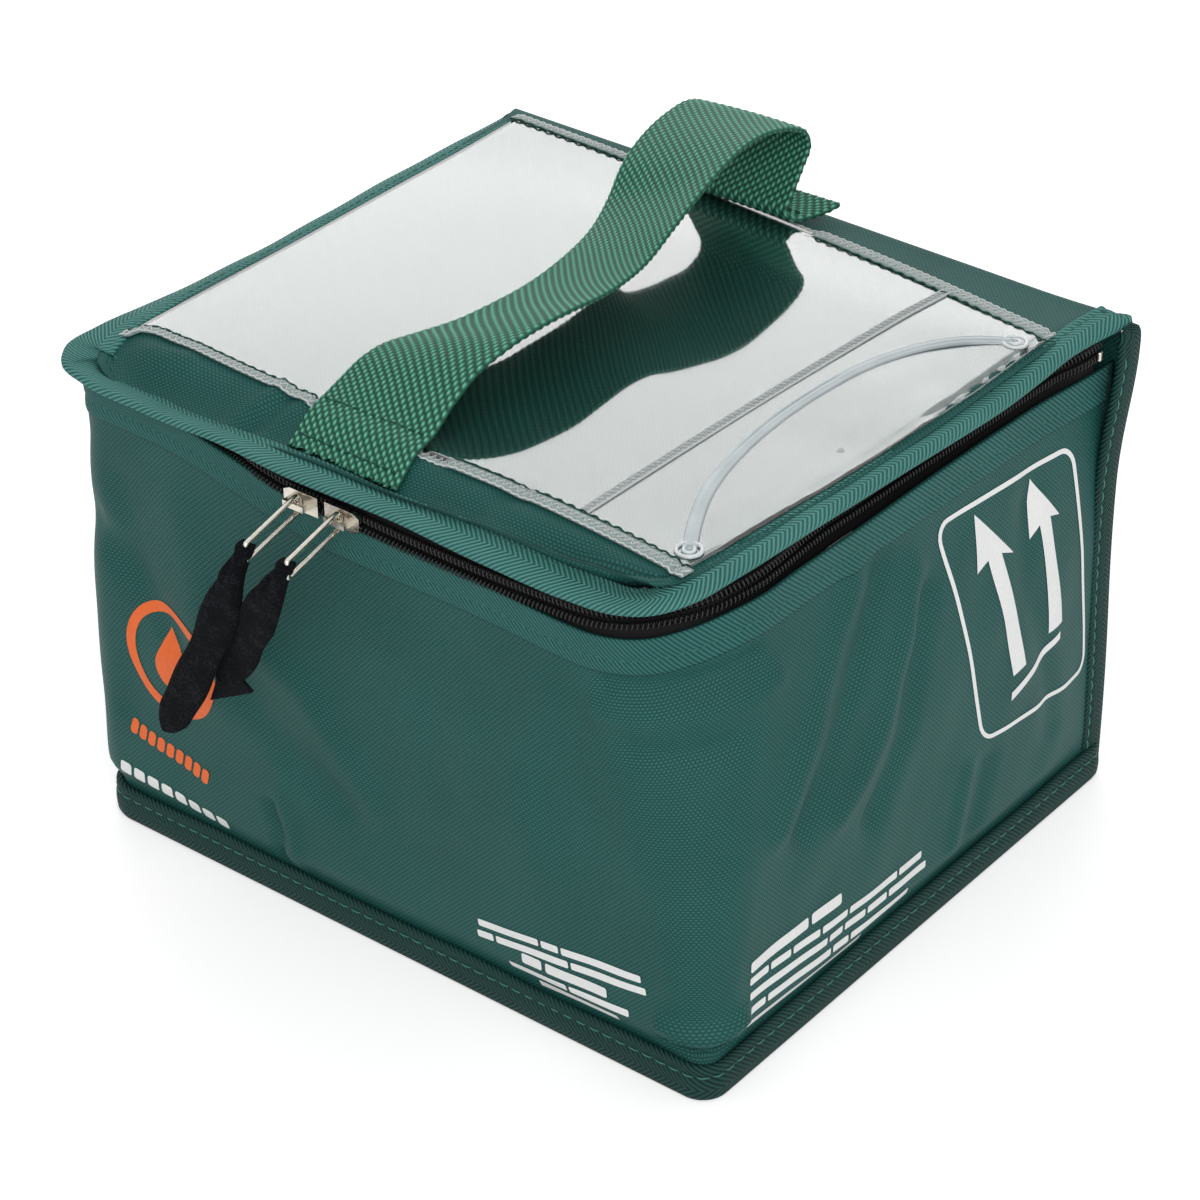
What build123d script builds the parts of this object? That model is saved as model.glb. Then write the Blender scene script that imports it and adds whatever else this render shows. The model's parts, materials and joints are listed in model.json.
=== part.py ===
from build123d import *
import os

# Insulated soft box with a zipped lid, for carrying specimen bottles and bags.
# Millimetres. X runs left to right along the front, Y from front to back, Z up.
# The origin is the centre of the base, on the surface that the box stands on.

# ---- driving dimensions -------------------------------------------------------------
body_width = 220.0            # outer face to outer face of the side walls
body_depth = 192.0            # outer face of the front wall to that of the back panel
wall_height = 134.0           # top edge of the wall cloth, under the zip
lid_top = 153.0               # outer face of the lid cloth
corner_radius = 8.0           # upright front corners of the wall
cloth = 1.0                   # coated nylon
layer_gap = 0.1               # between layers that are wrapped round each other
seat_gap = 0.3                # between pieces that move past each other

foam = 7.0                    # closed-cell foam sheet
board = 2.0                   # stiffener under the tub
liner = 0.8                   # wipe-clean vinyl
tub_radius = 6.0              # upright corners of the tub

base_tape_height = 13.0       # bound seam round the base
base_tape = 2.0               # its thickness
base_back_radius = 3.0
corner_tape_width = 12.0      # bound seams up the back corners
corner_tape_proud = 0.75      # how far they stand behind the back panel
corner_tape_edge = 0.9        # rounding of their edges
corner_tape_gap = 0.5         # from their tops to the lid hem

# Lid hem: a bound seam that slopes outwards and down from the lid cloth
lid_overhang = 4.5            # hem's outer edge beyond the wall
hem_run = 10.0                # across the slope, seen from above
hem_drop = 9.5                # down the slope
hem_thickness = 3.3           # measured upright
hem_rise = 0.5                # hem's top edge above the lid cloth
hem_radius = 10.0             # outer front corners
hem_inner_radius = 4.0        # inner front corners

# Zip
facing_height = 13.0          # herringbone facing on the wall's top edge
facing_rise = 0.5             # above the wall cloth
facing = 1.1
zip_tape = 0.6
zip_tape_below = 10.0         # lower tape behind the facing
coil_height = 2.6
coil_thickness = 2.0
coil_gap = 1.0                # between the two rows of teeth
coil_above_facing = 1.4
zip_end_gap = 0.3             # from the zip's ends to the back corner seams
stop_length = 3.0
stop_thickness = 0.8

# Sliders and pulls
slider_left_x = -22.0
slider_spacing = 14.5
slider_length = 12.0
slider_height = 6.0
slider_nose = 2.2             # corner cut of the plates at the tail
slider_plate = 1.0
slider_clearance = 0.35       # plates to teeth
slider_web = 0.4              # wedge between the two rows of teeth
slider_web_length = 4.0
crown_length = 7.2            # loop that holds the pull
crown_wall = 1.0
crown_height = 1.8
crown_reach = 3.2             # how far it stands in front of the plate
pull_wire = 1.5
pull_length = 20.5
pull_width = 5.2              # between the wire's centre lines
pull_droop = 5.2
pull_bend = 0.9
strap_width = 11.0
strap_thickness = 2.4
strap_length = 82.0
strap_tip = 12.0              # length of the pointed end
strap_neck_width = 4.4
strap_neck = 16.0
strap_lean = 27.0             # degrees to the left of plumb
neck_loop_wall = 1.0

# Handle: webbing laid over the lid from front to back
handle_width = 38.0
handle_thickness = 1.8
handle_x = -12.0
handle_rise = 32.0            # top of the arch above the lid
handle_front_end = 6.5        # from the wall's front face
handle_front_stitch = 20.0
handle_back_stitch = 16.5     # from the back panel's outer face
handle_back_end = 3.5
# Points of the arch, as shares of the span between the stitches and of the rise, and the
# radius of the bend at each point from the front stitch to the back one, as shares of the rise
handle_shape = ((0.10, 0.31), (0.25, 0.37), (0.42, 0.29), (0.56, 0.29), (0.71, 0.52),
                (0.81, 0.80), (0.93, 1.00), (1.06, 0.93), (1.07, 0.72))
handle_bends = (0.62, 0.62, 0.78, 1.25, 0.94, 0.94, 0.78, 0.38, 0.08, 0.08, 0.045)

# Document window
sheet = 0.5                   # clear vinyl
sheet_front = 20.0            # from the wall's front face
sheet_back = 8.0              # from the back panel's outer face
crown_rise = 3.8              # height of the sheet's raised middle above its flat margin
crown_side = 4.0              # flat margin of the sheet at its sides
crown_front = 6.0             # at its front
crown_back = 12.0             # at its back
crown_run_x = 42.0            # slope from the margin up to the raised middle, seen from above
crown_run_y = 33.0
edging_width = 5.0
edging = 0.6
divider_inset = 52.0          # from the right wall's outer face to the divider's middle
divider_width = 3.2
slit_inset = 24.0             # from the same face to the ends of the slit
slit_bow = 18.0               # how far its middle bows towards the divider
slit_front_inset = 9.5        # from the sheet's front edge to the slit's end
slit_back_inset = 16.0        # from the sheet's back edge
slit_width = 0.8
slit_lip_width = 3.0
slit_lip = 1.2
ring_outer = 4.0
ring_hole = 1.6

# ---- places worked out from them ----------------------------------------------------
half_width = body_width / 2
back_y = body_depth / 2
front_y = -back_y
back_inner_y = back_y - cloth
inside = cloth + layer_gap                    # wall's outer face to the foam
foam_base_top = cloth + foam
tub_floor = foam_base_top + board
cavity_inset = inside + foam + layer_gap      # wall's outer face to the tub
base_grow = layer_gap + base_tape             # wall's outer face to the base seam's

hinge_y = back_y - cloth / 2
hinge_z = lid_top - cloth / 2
hinge_roll = cloth                            # radius of the rolled fold
lid_back = hinge_y - hinge_roll - seat_gap
hem_outer_x = half_width + lid_overhang
hem_outer_y = front_y - lid_overhang
hem_inner_x = hem_outer_x - hem_run
hem_inner_y = hem_outer_y + hem_run
hem_top = lid_top + hem_rise
hem_bottom = hem_top - hem_drop
panel_x = hem_inner_x - layer_gap
panel_front = hem_inner_y + layer_gap
lid_foam_bottom = lid_top - cloth - foam

facing_top = wall_height + facing_rise
coil_bottom = facing_top + coil_above_facing
coil_split = coil_bottom + coil_height + coil_gap / 2
coil_top = coil_split + coil_gap / 2 + coil_height
tape_inner = layer_gap                        # zip tape, outwards from the wall's face
tape_outer = tape_inner + zip_tape
tape_middle = (tape_inner + tape_outer) / 2
coil_inner = tape_middle - coil_thickness / 2
coil_outer = tape_middle + coil_thickness / 2
corner_tape_back = back_y + corner_tape_proud
corner_tape_front = corner_tape_back - corner_tape_width
zip_end = corner_tape_front - zip_end_gap
corner_tape_top = hem_bottom - corner_tape_gap

# Height of the hem's lower face above a place on the outside of the wall
hem_slope = hem_drop / hem_run
tape_top = hem_bottom - hem_thickness + (lid_overhang - tape_outer) * hem_slope - seat_gap

sheet_top = lid_top + sheet
sheet_front_y = front_y + sheet_front
sheet_back_y = back_y - sheet_back
edging_top = sheet_top + edging
sheet_x = panel_x - layer_gap
sheet_middle_y = (sheet_front_y + sheet_back_y) / 2
sheet_depth = sheet_back_y - sheet_front_y
crown_x = sheet_x - crown_side
crown_middle_y = sheet_middle_y + (crown_front - crown_back) / 2
crown_depth = sheet_depth - crown_front - crown_back
divider_x = half_width - divider_inset
slit_x = half_width - slit_inset


def wall_plan(grow, level):
    """Plan of the body, grown outwards from the wall's outer face, with round front corners."""
    with BuildSketch(Plane.XY.offset(level)) as plan:
        Rectangle(body_width + 2 * grow, body_depth + 2 * grow)
        if corner_radius + grow > 0:
            fillet(plan.vertices().group_by(Axis.Y)[0], corner_radius + grow)
    return plan.sketch


def wrap_plan(inner, thickness, end_y, level):
    """Plan of a strip laid on the wall round the left side, the front and the right side."""
    with BuildSketch(Plane.XY.offset(level)) as strip:
        for grow, mode in ((inner + thickness, Mode.ADD), (inner, Mode.SUBTRACT)):
            side = half_width + grow
            near = front_y - grow
            with BuildLine():
                FilletPolyline((-side, end_y), (-side, near), (side, near), (side, end_y),
                               radius=corner_radius + grow)
                Line((-side, end_y), (side, end_y))
            make_face(mode=mode)
    return strip.sketch


def lid_plan(side, near, radius, far, level):
    """Plan of a lid layer with round front corners."""
    with BuildSketch(Plane.XY.offset(level)) as plan:
        with BuildLine():
            FilletPolyline((-side, far), (-side, near), (side, near), (side, far), radius=radius)
            Line((-side, far), (side, far))
        make_face()
    return plan.sketch


def save(piece, name):
    piece.part.label = name
    export_step(piece.part, f"parts/{name}.step")
    print(f"{name:26s} {piece.part.volume:10.1f} mm3")


os.makedirs("parts", exist_ok=True)

# ---- base ---------------------------------------------------------------------------
with BuildPart() as base_panel:
    add(wall_plan(0, 0))
    extrude(amount=cloth)
save(base_panel, "base_panel")

with BuildPart() as base_binding:
    with BuildSketch() as ring:
        Rectangle(body_width + 2 * base_grow, body_depth + 2 * base_grow)
        fillet(ring.vertices().group_by(Axis.Y)[0], corner_radius + base_grow)
        fillet(ring.vertices().group_by(Axis.Y)[-1], base_back_radius)
        add(wall_plan(layer_gap, 0), mode=Mode.SUBTRACT)
    extrude(amount=base_tape_height)
save(base_binding, "base_binding")

# ---- wall, back panel and corner seams ------------------------------------------------
with BuildPart() as wall_shell:
    add(wrap_plan(-cloth, cloth, back_inner_y, cloth))
    extrude(amount=wall_height - cloth)
save(wall_shell, "wall_shell")

with BuildPart() as back_panel:
    with BuildSketch(Plane.YZ.offset(-half_width)):
        with Locations((hinge_y, (cloth + hinge_z) / 2)):
            Rectangle(cloth, hinge_z - cloth)
        with Locations((hinge_y, hinge_z)):
            Circle(hinge_roll)
    extrude(amount=body_width)
save(back_panel, "back_panel")

for side_sign, side_name in ((-1, "left"), (1, "right")):
    with BuildPart() as corner_binding:
        with BuildSketch(Plane.XY.offset(base_tape_height)):
            with Locations((side_sign * (half_width + layer_gap + base_tape / 2),
                            (corner_tape_front + corner_tape_back) / 2)):
                RectangleRounded(base_tape, corner_tape_width, corner_tape_edge)
        extrude(amount=corner_tape_top - base_tape_height)
    save(corner_binding, f"corner_binding_{side_name}")

with BuildPart() as wall_facing:
    add(wrap_plan(tape_outer + layer_gap, facing, zip_end, facing_top - facing_height))
    extrude(amount=facing_height)
save(wall_facing, "wall_facing")

# ---- insulation, board and liners -------------------------------------------------------
with BuildPart() as foam_base:
    add(wall_plan(-inside, cloth))
    extrude(amount=foam)
save(foam_base, "foam_base")

foam_face = inside + foam                     # wall's outer face to the foam's inner face
foam_strips = {
    "foam_front": ((0, front_y + foam_face / 2), (body_width, foam_face)),
    "foam_back": ((0, back_y - foam_face / 2), (body_width, foam_face)),
    "foam_left": ((-half_width + foam_face / 2, 0), (foam_face, body_depth - 2 * foam_face)),
    "foam_right": ((half_width - foam_face / 2, 0), (foam_face, body_depth - 2 * foam_face)),
}
for foam_name, (foam_centre, foam_size) in foam_strips.items():
    with BuildPart() as foam_sheet:
        with BuildSketch(Plane.XY.offset(foam_base_top)):
            add(wall_plan(-inside, 0))
            with Locations(foam_centre):
                Rectangle(*foam_size, mode=Mode.INTERSECT)
        extrude(amount=wall_height - foam_base_top)
    save(foam_sheet, foam_name)

with BuildPart() as base_board:
    with BuildSketch(Plane.XY.offset(foam_base_top)):
        RectangleRounded(body_width - 2 * cavity_inset, body_depth - 2 * cavity_inset, tub_radius)
    extrude(amount=board)
save(base_board, "base_board")

with BuildPart() as liner_tub:
    with BuildSketch(Plane.XY.offset(tub_floor)):
        RectangleRounded(body_width - 2 * cavity_inset, body_depth - 2 * cavity_inset, tub_radius)
    extrude(amount=wall_height - tub_floor)
    offset(amount=-liner, openings=liner_tub.faces().sort_by(Axis.Z)[-1])
save(liner_tub, "liner_tub")

# ---- lid --------------------------------------------------------------------------------
with BuildPart() as lid_panel:
    add(lid_plan(panel_x, panel_front, hem_inner_radius, lid_back, lid_top - cloth))
    extrude(amount=cloth)
save(lid_panel, "lid_panel")

with BuildPart() as lid_binding:
    add(lid_plan(hem_outer_x, hem_outer_y, hem_radius, lid_back, hem_bottom))
    add(lid_plan(hem_inner_x, hem_inner_y, hem_inner_radius, lid_back, hem_top))
    loft(ruled=True)
    add(lid_plan(hem_outer_x, hem_outer_y, hem_radius, lid_back, hem_bottom - hem_thickness))
    add(lid_plan(hem_inner_x, hem_inner_y, hem_inner_radius, lid_back, hem_top - hem_thickness))
    loft(ruled=True, mode=Mode.SUBTRACT)
    add(lid_plan(hem_inner_x, hem_inner_y, hem_inner_radius, lid_back, hem_top))
    extrude(amount=-hem_thickness, mode=Mode.SUBTRACT)
save(lid_binding, "lid_binding")

with BuildPart() as foam_lid:
    add(lid_plan(panel_x, panel_front, hem_inner_radius, lid_back - layer_gap, lid_foam_bottom))
    extrude(amount=foam)
save(foam_lid, "foam_lid")

with BuildPart() as lid_liner:
    add(lid_plan(panel_x, panel_front, hem_inner_radius, lid_back - layer_gap, lid_foam_bottom))
    extrude(amount=-liner)
save(lid_liner, "lid_liner")

# ---- zip --------------------------------------------------------------------------------
with BuildPart() as zip_tape_lower:
    add(wrap_plan(tape_inner, zip_tape, zip_end, coil_bottom - zip_tape_below))
    extrude(amount=zip_tape_below)
save(zip_tape_lower, "zip_tape_lower")

with BuildPart() as zip_coil_lower:
    add(wrap_plan(coil_inner, coil_thickness, zip_end - stop_length - layer_gap, coil_bottom))
    extrude(amount=coil_height)
save(zip_coil_lower, "zip_coil_lower")

with BuildPart() as zip_stops:
    with BuildSketch(Plane.XY.offset(coil_bottom)):
        with Locations((-half_width - tape_middle, zip_end - stop_length / 2),
                       (half_width + tape_middle, zip_end - stop_length / 2)):
            RectangleRounded(coil_thickness + stop_thickness, stop_length, stop_thickness)
    extrude(amount=coil_height)
save(zip_stops, "zip_stops")

with BuildPart() as zip_coil_upper:
    add(wrap_plan(coil_inner, coil_thickness, zip_end, coil_top - coil_height))
    extrude(amount=coil_height)
save(zip_coil_upper, "zip_coil_upper")

with BuildPart() as zip_tape_upper:
    add(wrap_plan(tape_inner, zip_tape, zip_end, coil_top))
    extrude(amount=tape_top - coil_top)
save(zip_tape_upper, "zip_tape_upper")

# ---- sliders, pulls and pull straps ------------------------------------------------------
plate_inner_front = front_y - coil_outer - slider_clearance
plate_front = plate_inner_front - slider_plate
plate_inner_back = front_y - coil_inner + slider_clearance
plate_back = plate_inner_back + slider_plate
crown_face = plate_front - crown_reach
pull_y = plate_front - (crown_reach - crown_wall) / 2
pull_end_y = pull_y - pull_length
pull_end_z = coil_split - pull_droop
loop_inner = pull_wire / 2 + seat_gap
loop_outer = loop_inner + neck_loop_wall
loop_height = pull_width - pull_wire - seat_gap - 2 * loop_outer * pull_droop / pull_length
strap_back_y = pull_end_y - loop_inner


def slider_plate_outline(middle, nose_sign):
    """Outline of a slider's plate in X and Z, wide at the nose and cut back at the tail."""
    nose = middle + nose_sign * slider_length / 2
    tail = middle - nose_sign * slider_length / 2
    cut = tail + nose_sign * slider_nose
    low = coil_split - slider_height / 2
    high = coil_split + slider_height / 2
    with BuildSketch() as plan:
        Polygon((nose, low), (nose, high), (cut, high), (tail, high - slider_nose / 2),
                (tail, low + slider_nose / 2), (cut, low), align=None)
    return plan.sketch


slider_places = (("left", slider_left_x, 1), ("right", slider_left_x + slider_spacing, -1))
for side_name, middle, nose_sign in slider_places:
    with BuildPart() as slider:
        # Front plate, back plate and the thin wedge that joins them between the teeth
        for plate_start in (plate_inner_front, plate_back):
            with BuildSketch(Plane.XZ.offset(-plate_start)):
                add(slider_plate_outline(middle, nose_sign))
            extrude(amount=slider_plate)
        with Locations((middle + nose_sign * (slider_length - slider_web_length) / 2,
                        (plate_inner_front + plate_inner_back) / 2, coil_split)):
            Box(slider_web_length, plate_inner_back - plate_inner_front, slider_web)
        # Crown: the loop on the front plate that holds the pull's near bar
        with BuildSketch(Plane.XY.offset(coil_split - crown_height / 2)):
            with Locations((middle, (plate_front + crown_face) / 2)):
                Rectangle(crown_length, crown_reach)
            with Locations((middle, (plate_front + crown_face + crown_wall) / 2)):
                Rectangle(crown_length - 2 * crown_wall, crown_reach - crown_wall,
                          mode=Mode.SUBTRACT)
        extrude(amount=crown_height)
    save(slider, f"slider_{side_name}")

    with BuildPart() as pull:
        # One closed wire: near bar through the crown, two sloping sides, far bar
        with BuildLine(Plane.YZ.offset(middle)) as wire:
            FilletPolyline((pull_y, coil_split + pull_width / 2),
                           (pull_y, coil_split - pull_width / 2),
                           (pull_end_y, pull_end_z - pull_width / 2),
                           (pull_end_y, pull_end_z + pull_width / 2),
                           radius=pull_bend, close=True)
        start = wire.wires()[0]
        with BuildSketch(Plane(origin=start @ 0, z_dir=start % 0)):
            Circle(pull_wire / 2)
        sweep(path=start)
    save(pull, f"pull_{side_name}")

    with BuildPart() as pull_strap:
        # Neck loop round the pull's far bar
        with BuildSketch(Plane.XY.offset(pull_end_z - loop_height / 2)):
            with Locations((middle, pull_end_y)):
                Circle(loop_outer)
                Circle(loop_inner, mode=Mode.SUBTRACT)
        extrude(amount=loop_height)
        # Blade: narrow neck, straight sides and a pointed tip, leaning to the left
        lean_plane = Plane(origin=(middle, strap_back_y, pull_end_z),
                           x_dir=Vector(1, 0, 0).rotate(Axis.Y, strap_lean), z_dir=(0, -1, 0))
        with BuildSketch(lean_plane):
            Polygon((-strap_neck_width / 2, loop_height / 2), (strap_neck_width / 2, loop_height / 2),
                    (strap_width / 2, -strap_neck), (strap_width / 2, strap_tip - strap_length),
                    (0, -strap_length), (-strap_width / 2, strap_tip - strap_length),
                    (-strap_width / 2, -strap_neck), align=None)
        extrude(amount=strap_thickness)
    save(pull_strap, f"pull_strap_{side_name}")

# ---- document window ----------------------------------------------------------------------
# The sheet is sewn down round a flat margin and stands up in the middle, over the papers
slit_front = (slit_x, sheet_front_y + slit_front_inset)
slit_back = (slit_x, sheet_back_y - slit_back_inset)
slit_middle = (slit_x - slit_bow, (slit_front[1] + slit_back[1]) / 2)


def under_crown(level):
    """All that lies under a crowned face whose flat margin is at this level."""
    with BuildPart() as mound:
        with BuildSketch(Plane.XY.offset(level)):
            with Locations((0, crown_middle_y)):
                Rectangle(2 * crown_x, crown_depth)
        with BuildSketch(Plane.XY.offset(level + crown_rise)):
            with Locations((0, crown_middle_y)):
                Rectangle(2 * (crown_x - crown_run_x), crown_depth - 2 * crown_run_y)
        loft(ruled=True)
        if level > lid_top:
            with BuildSketch(Plane.XY.offset(lid_top)):
                with Locations((0, sheet_middle_y)):
                    Rectangle(2 * sheet_x, sheet_depth)
            extrude(amount=level - lid_top)
    return mound.part


def crowned(plan, low, high):
    """A plan cut out of the crowned layer between two levels."""
    with BuildPart() as layer:
        add(under_crown(high))
        add(under_crown(low), mode=Mode.SUBTRACT)
        with BuildSketch(Plane.XY.offset(lid_top)):
            add(plan)
        extrude(amount=high + crown_rise - lid_top, mode=Mode.INTERSECT)
    return layer


with BuildSketch() as sheet_plan:
    with Locations((0, sheet_middle_y)):
        Rectangle(2 * sheet_x, sheet_depth)
    with BuildLine():
        ThreePointArc(slit_front, slit_middle, slit_back)
    trace(line_width=slit_width, mode=Mode.SUBTRACT)
save(crowned(sheet_plan.sketch, lid_top, sheet_top), "window_sheet")

edging_rows = (("front", sheet_front_y + edging_width / 2), ("back", sheet_back_y - edging_width / 2))
for edge_name, edge_y in edging_rows:
    with BuildPart() as window_edging:
        with BuildSketch(Plane.XY.offset(sheet_top)):
            with Locations((0, edge_y)):
                Rectangle(2 * sheet_x, edging_width)
        extrude(amount=edging)
    save(window_edging, f"window_edging_{edge_name}")

with BuildSketch() as divider_plan:
    with Locations((divider_x, sheet_middle_y)):
        Rectangle(divider_width, sheet_depth - 2 * (edging_width + layer_gap))
save(crowned(divider_plan.sketch, sheet_top, edging_top), "window_divider")

with BuildSketch() as lip_plan:
    with BuildLine():
        ThreePointArc(slit_front, slit_middle, slit_back)
    trace(line_width=slit_lip_width)
    with Locations(slit_front, slit_back):
        Circle(ring_outer + layer_gap, mode=Mode.SUBTRACT)
save(crowned(lip_plan.sketch, sheet_top, sheet_top + slit_lip), "slit_lip")

with BuildSketch() as ring_plan:
    with Locations(slit_front, slit_back):
        Circle(ring_outer)
        Circle(ring_hole, mode=Mode.SUBTRACT)
save(crowned(ring_plan.sketch, sheet_top, sheet_top + slit_lip), "slit_rings")

# ---- handle -------------------------------------------------------------------------------
# The webbing lies flat to the front stitch, climbs in a long S, folds sharply over the top
# near the back, drops to the back stitch and ends in a short loose tail.
strap_z = edging_top + layer_gap + handle_thickness / 2
stitch_front_y = front_y + handle_front_stitch
stitch_back_y = back_y - handle_back_stitch
span = stitch_back_y - stitch_front_y
handle_points = ([(front_y + handle_front_end, strap_z), (stitch_front_y, strap_z)]
                 + [(stitch_front_y + along * span, strap_z + up * handle_rise)
                    for along, up in handle_shape]
                 + [(stitch_back_y, strap_z), (back_y - handle_back_end, strap_z + handle_thickness)])

with BuildPart() as handle_webbing:
    with BuildSketch(Plane.YZ.offset(handle_x - handle_width / 2)):
        with BuildLine() as webbing_line:
            FilletPolyline(*handle_points, radius=[handle_rise * bend for bend in handle_bends])
        trace(line_width=handle_thickness)
    extrude(amount=handle_width)
save(handle_webbing, "handle_webbing")
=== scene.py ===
# %% [markdown]
# # A soft specimen box in green nylon
# The box is sewn from coated nylon over foam, closed by a zip round three sides, and carried by a
# webbing handle. The frame gives the exact solids and the bodies that move. Here each soft solid gets a
# dressed piece in its place: cloth that bulges and creases, tapes with a woven relief, and real stitches.
# All shapes are worked out in millimetres and turned into metres when a mesh is made.

# %% Load the frame
import json
import math

import bmesh
import bpy
import numpy as np
from mathutils import Matrix, Vector


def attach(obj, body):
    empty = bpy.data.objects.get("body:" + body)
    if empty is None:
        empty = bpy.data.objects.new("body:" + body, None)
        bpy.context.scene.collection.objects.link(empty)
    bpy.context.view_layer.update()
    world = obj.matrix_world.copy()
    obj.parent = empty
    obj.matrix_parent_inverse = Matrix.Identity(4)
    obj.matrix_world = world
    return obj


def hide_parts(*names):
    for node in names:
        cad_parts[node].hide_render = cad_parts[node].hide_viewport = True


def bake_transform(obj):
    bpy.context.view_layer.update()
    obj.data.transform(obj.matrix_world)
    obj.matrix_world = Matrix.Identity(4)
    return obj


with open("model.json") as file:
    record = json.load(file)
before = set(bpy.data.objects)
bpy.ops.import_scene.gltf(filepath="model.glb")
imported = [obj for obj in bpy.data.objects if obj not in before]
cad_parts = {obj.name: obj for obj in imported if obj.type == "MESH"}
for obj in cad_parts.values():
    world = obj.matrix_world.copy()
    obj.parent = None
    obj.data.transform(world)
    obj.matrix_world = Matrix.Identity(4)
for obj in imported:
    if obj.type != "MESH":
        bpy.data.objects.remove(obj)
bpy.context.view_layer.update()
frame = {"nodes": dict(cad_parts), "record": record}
MM = 0.001

# %% [markdown]
# ## Camera
# The camera is set as a matrix, because the box was photographed from the front left and above
# with a slight roll. Its right and up directions come from two angles, then both are turned by the roll.

# %% Camera
CAMERA_PLACE = (0.571976, -0.704845, 0.650107)
CAMERA_TURN, CAMERA_RISE, CAMERA_ROLL = (math.radians(d) for d in (39.127, 32.756, -1.068))
LENS, SENSOR = 112.518, 36.0


def aim_camera():
    turn, rise, roll = CAMERA_TURN, CAMERA_RISE, CAMERA_ROLL
    back = Vector((math.sin(turn) * math.cos(rise), -math.cos(turn) * math.cos(rise), math.sin(rise)))
    right = Vector((math.cos(turn), math.sin(turn), 0))
    up = back.cross(right)
    rolled_right = right * math.cos(roll) + up * math.sin(roll)
    rolled_up = up * math.cos(roll) - right * math.sin(roll)
    data = bpy.data.cameras.new("camera")
    data.lens, data.sensor_width = LENS, SENSOR
    camera = bpy.data.objects.new("camera", data)
    matrix = Matrix((rolled_right, rolled_up, back)).transposed().to_4x4()
    matrix.translation = CAMERA_PLACE
    camera.matrix_world = matrix
    bpy.context.scene.collection.objects.link(camera)
    bpy.context.scene.camera = camera
    return camera


camera = aim_camera()
print("camera at", [round(v, 3) for v in camera.location])

# %% [markdown]
# ## Light
# A pale world lights the box from everywhere, one large soft lamp gives the shading its direction, and a
# second one stands where the lid mirrors it into the camera. The clear window shows that lamp as a pale
# sheen, and the handle cuts a dark shape out of it. The background is white for the camera alone.

# %% World, lamps and floor
WORLD_LEVEL = 0.62
scene = bpy.context.scene
scene.view_settings.view_transform = "Standard"


def background_rays(tree):
    """1 for rays that come from the camera, by way of a mirror or clear vinyl or not, and 0 for the rest."""
    light_path = tree.nodes.new("ShaderNodeLightPath")
    seen = light_path.outputs["Is Camera Ray"]
    for kind in ("Is Glossy Ray", "Is Transmission Ray"):
        either = tree.nodes.new("ShaderNodeMath")
        either.operation = "MAXIMUM"
        tree.links.new(seen, either.inputs[0])
        tree.links.new(light_path.outputs[kind], either.inputs[1])
        seen = either.outputs[0]
    return seen


def paint_world():
    world = bpy.data.worlds.new("studio")
    scene.world = world
    world.use_nodes = True
    tree = world.node_tree
    pick = tree.nodes.new("ShaderNodeMix")
    pick.data_type = "FLOAT"
    pick.inputs["A"].default_value = WORLD_LEVEL
    pick.inputs["B"].default_value = 1.0
    tree.links.new(background_rays(tree), pick.inputs["Factor"])
    background = tree.nodes["Background"]
    background.inputs["Color"].default_value = (1, 1, 1, 1)
    tree.links.new(pick.outputs["Result"], background.inputs["Strength"])


def soft_lamp(name, place, target, size, power):
    data = bpy.data.lights.new(name, "AREA")
    data.shape, data.size, data.size_y, data.energy = "RECTANGLE", size[0], size[1], power
    lamp = bpy.data.objects.new(name, data)
    lamp.location = place
    lamp.rotation_euler = (Vector(target) - Vector(place)).to_track_quat("-Z", "Y").to_euler()
    scene.collection.objects.link(lamp)
    return lamp


paint_world()
soft_lamp("key", (1.02, -1.00, 1.12), (0, 0, 0.08), (0.9, 0.9), 12.0)
soft_lamp("window_sheen", (-0.575, 0.700, 0.735), (0, 0, 0.15), (0.98, 0.84), 3.2)


def lay_floor():
    mesh = bpy.data.meshes.new("floor")
    mesh.from_pydata([(-3, -3, 0), (3, -3, 0), (3, 3, 0), (-3, 3, 0)], [], [(0, 1, 2, 3)])
    floor = bpy.data.objects.new("floor", mesh)
    scene.collection.objects.link(floor)
    material = bpy.data.materials.new("white_sweep")
    material.use_nodes = True
    shader = material.node_tree.nodes["Principled BSDF"]
    shader.inputs["Base Color"].default_value = (0.93, 0.93, 0.93, 1)
    shader.inputs["Roughness"].default_value = 0.9
    shader.inputs["Specular IOR Level"].default_value = 0.0
    shader.inputs["Emission Color"].default_value = (1, 1, 1, 1)
    lift_white = material.node_tree.nodes.new("ShaderNodeMath")
    lift_white.operation = "MULTIPLY"
    lift_white.inputs[1].default_value = 0.36
    material.node_tree.links.new(background_rays(material.node_tree), lift_white.inputs[0])
    material.node_tree.links.new(lift_white.outputs[0], shader.inputs["Emission Strength"])
    mesh.materials.append(material)


lay_floor()
print("world and two lamps set")

# %% [markdown]
# ## Helpers for shapes
# Almost every piece is a sheet or a strip: a grid of points with a texture map in metres. `through` draws
# a smooth line through a few stations, `sweep` carries an outline along a path, and `skin` makes the mesh.


# %% Smooth numbers
def smooth(low, high, x):
    t = np.clip((np.asarray(x, float) - low) / (high - low), 0, 1)
    return t * t * (3 - 2 * t)


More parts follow.
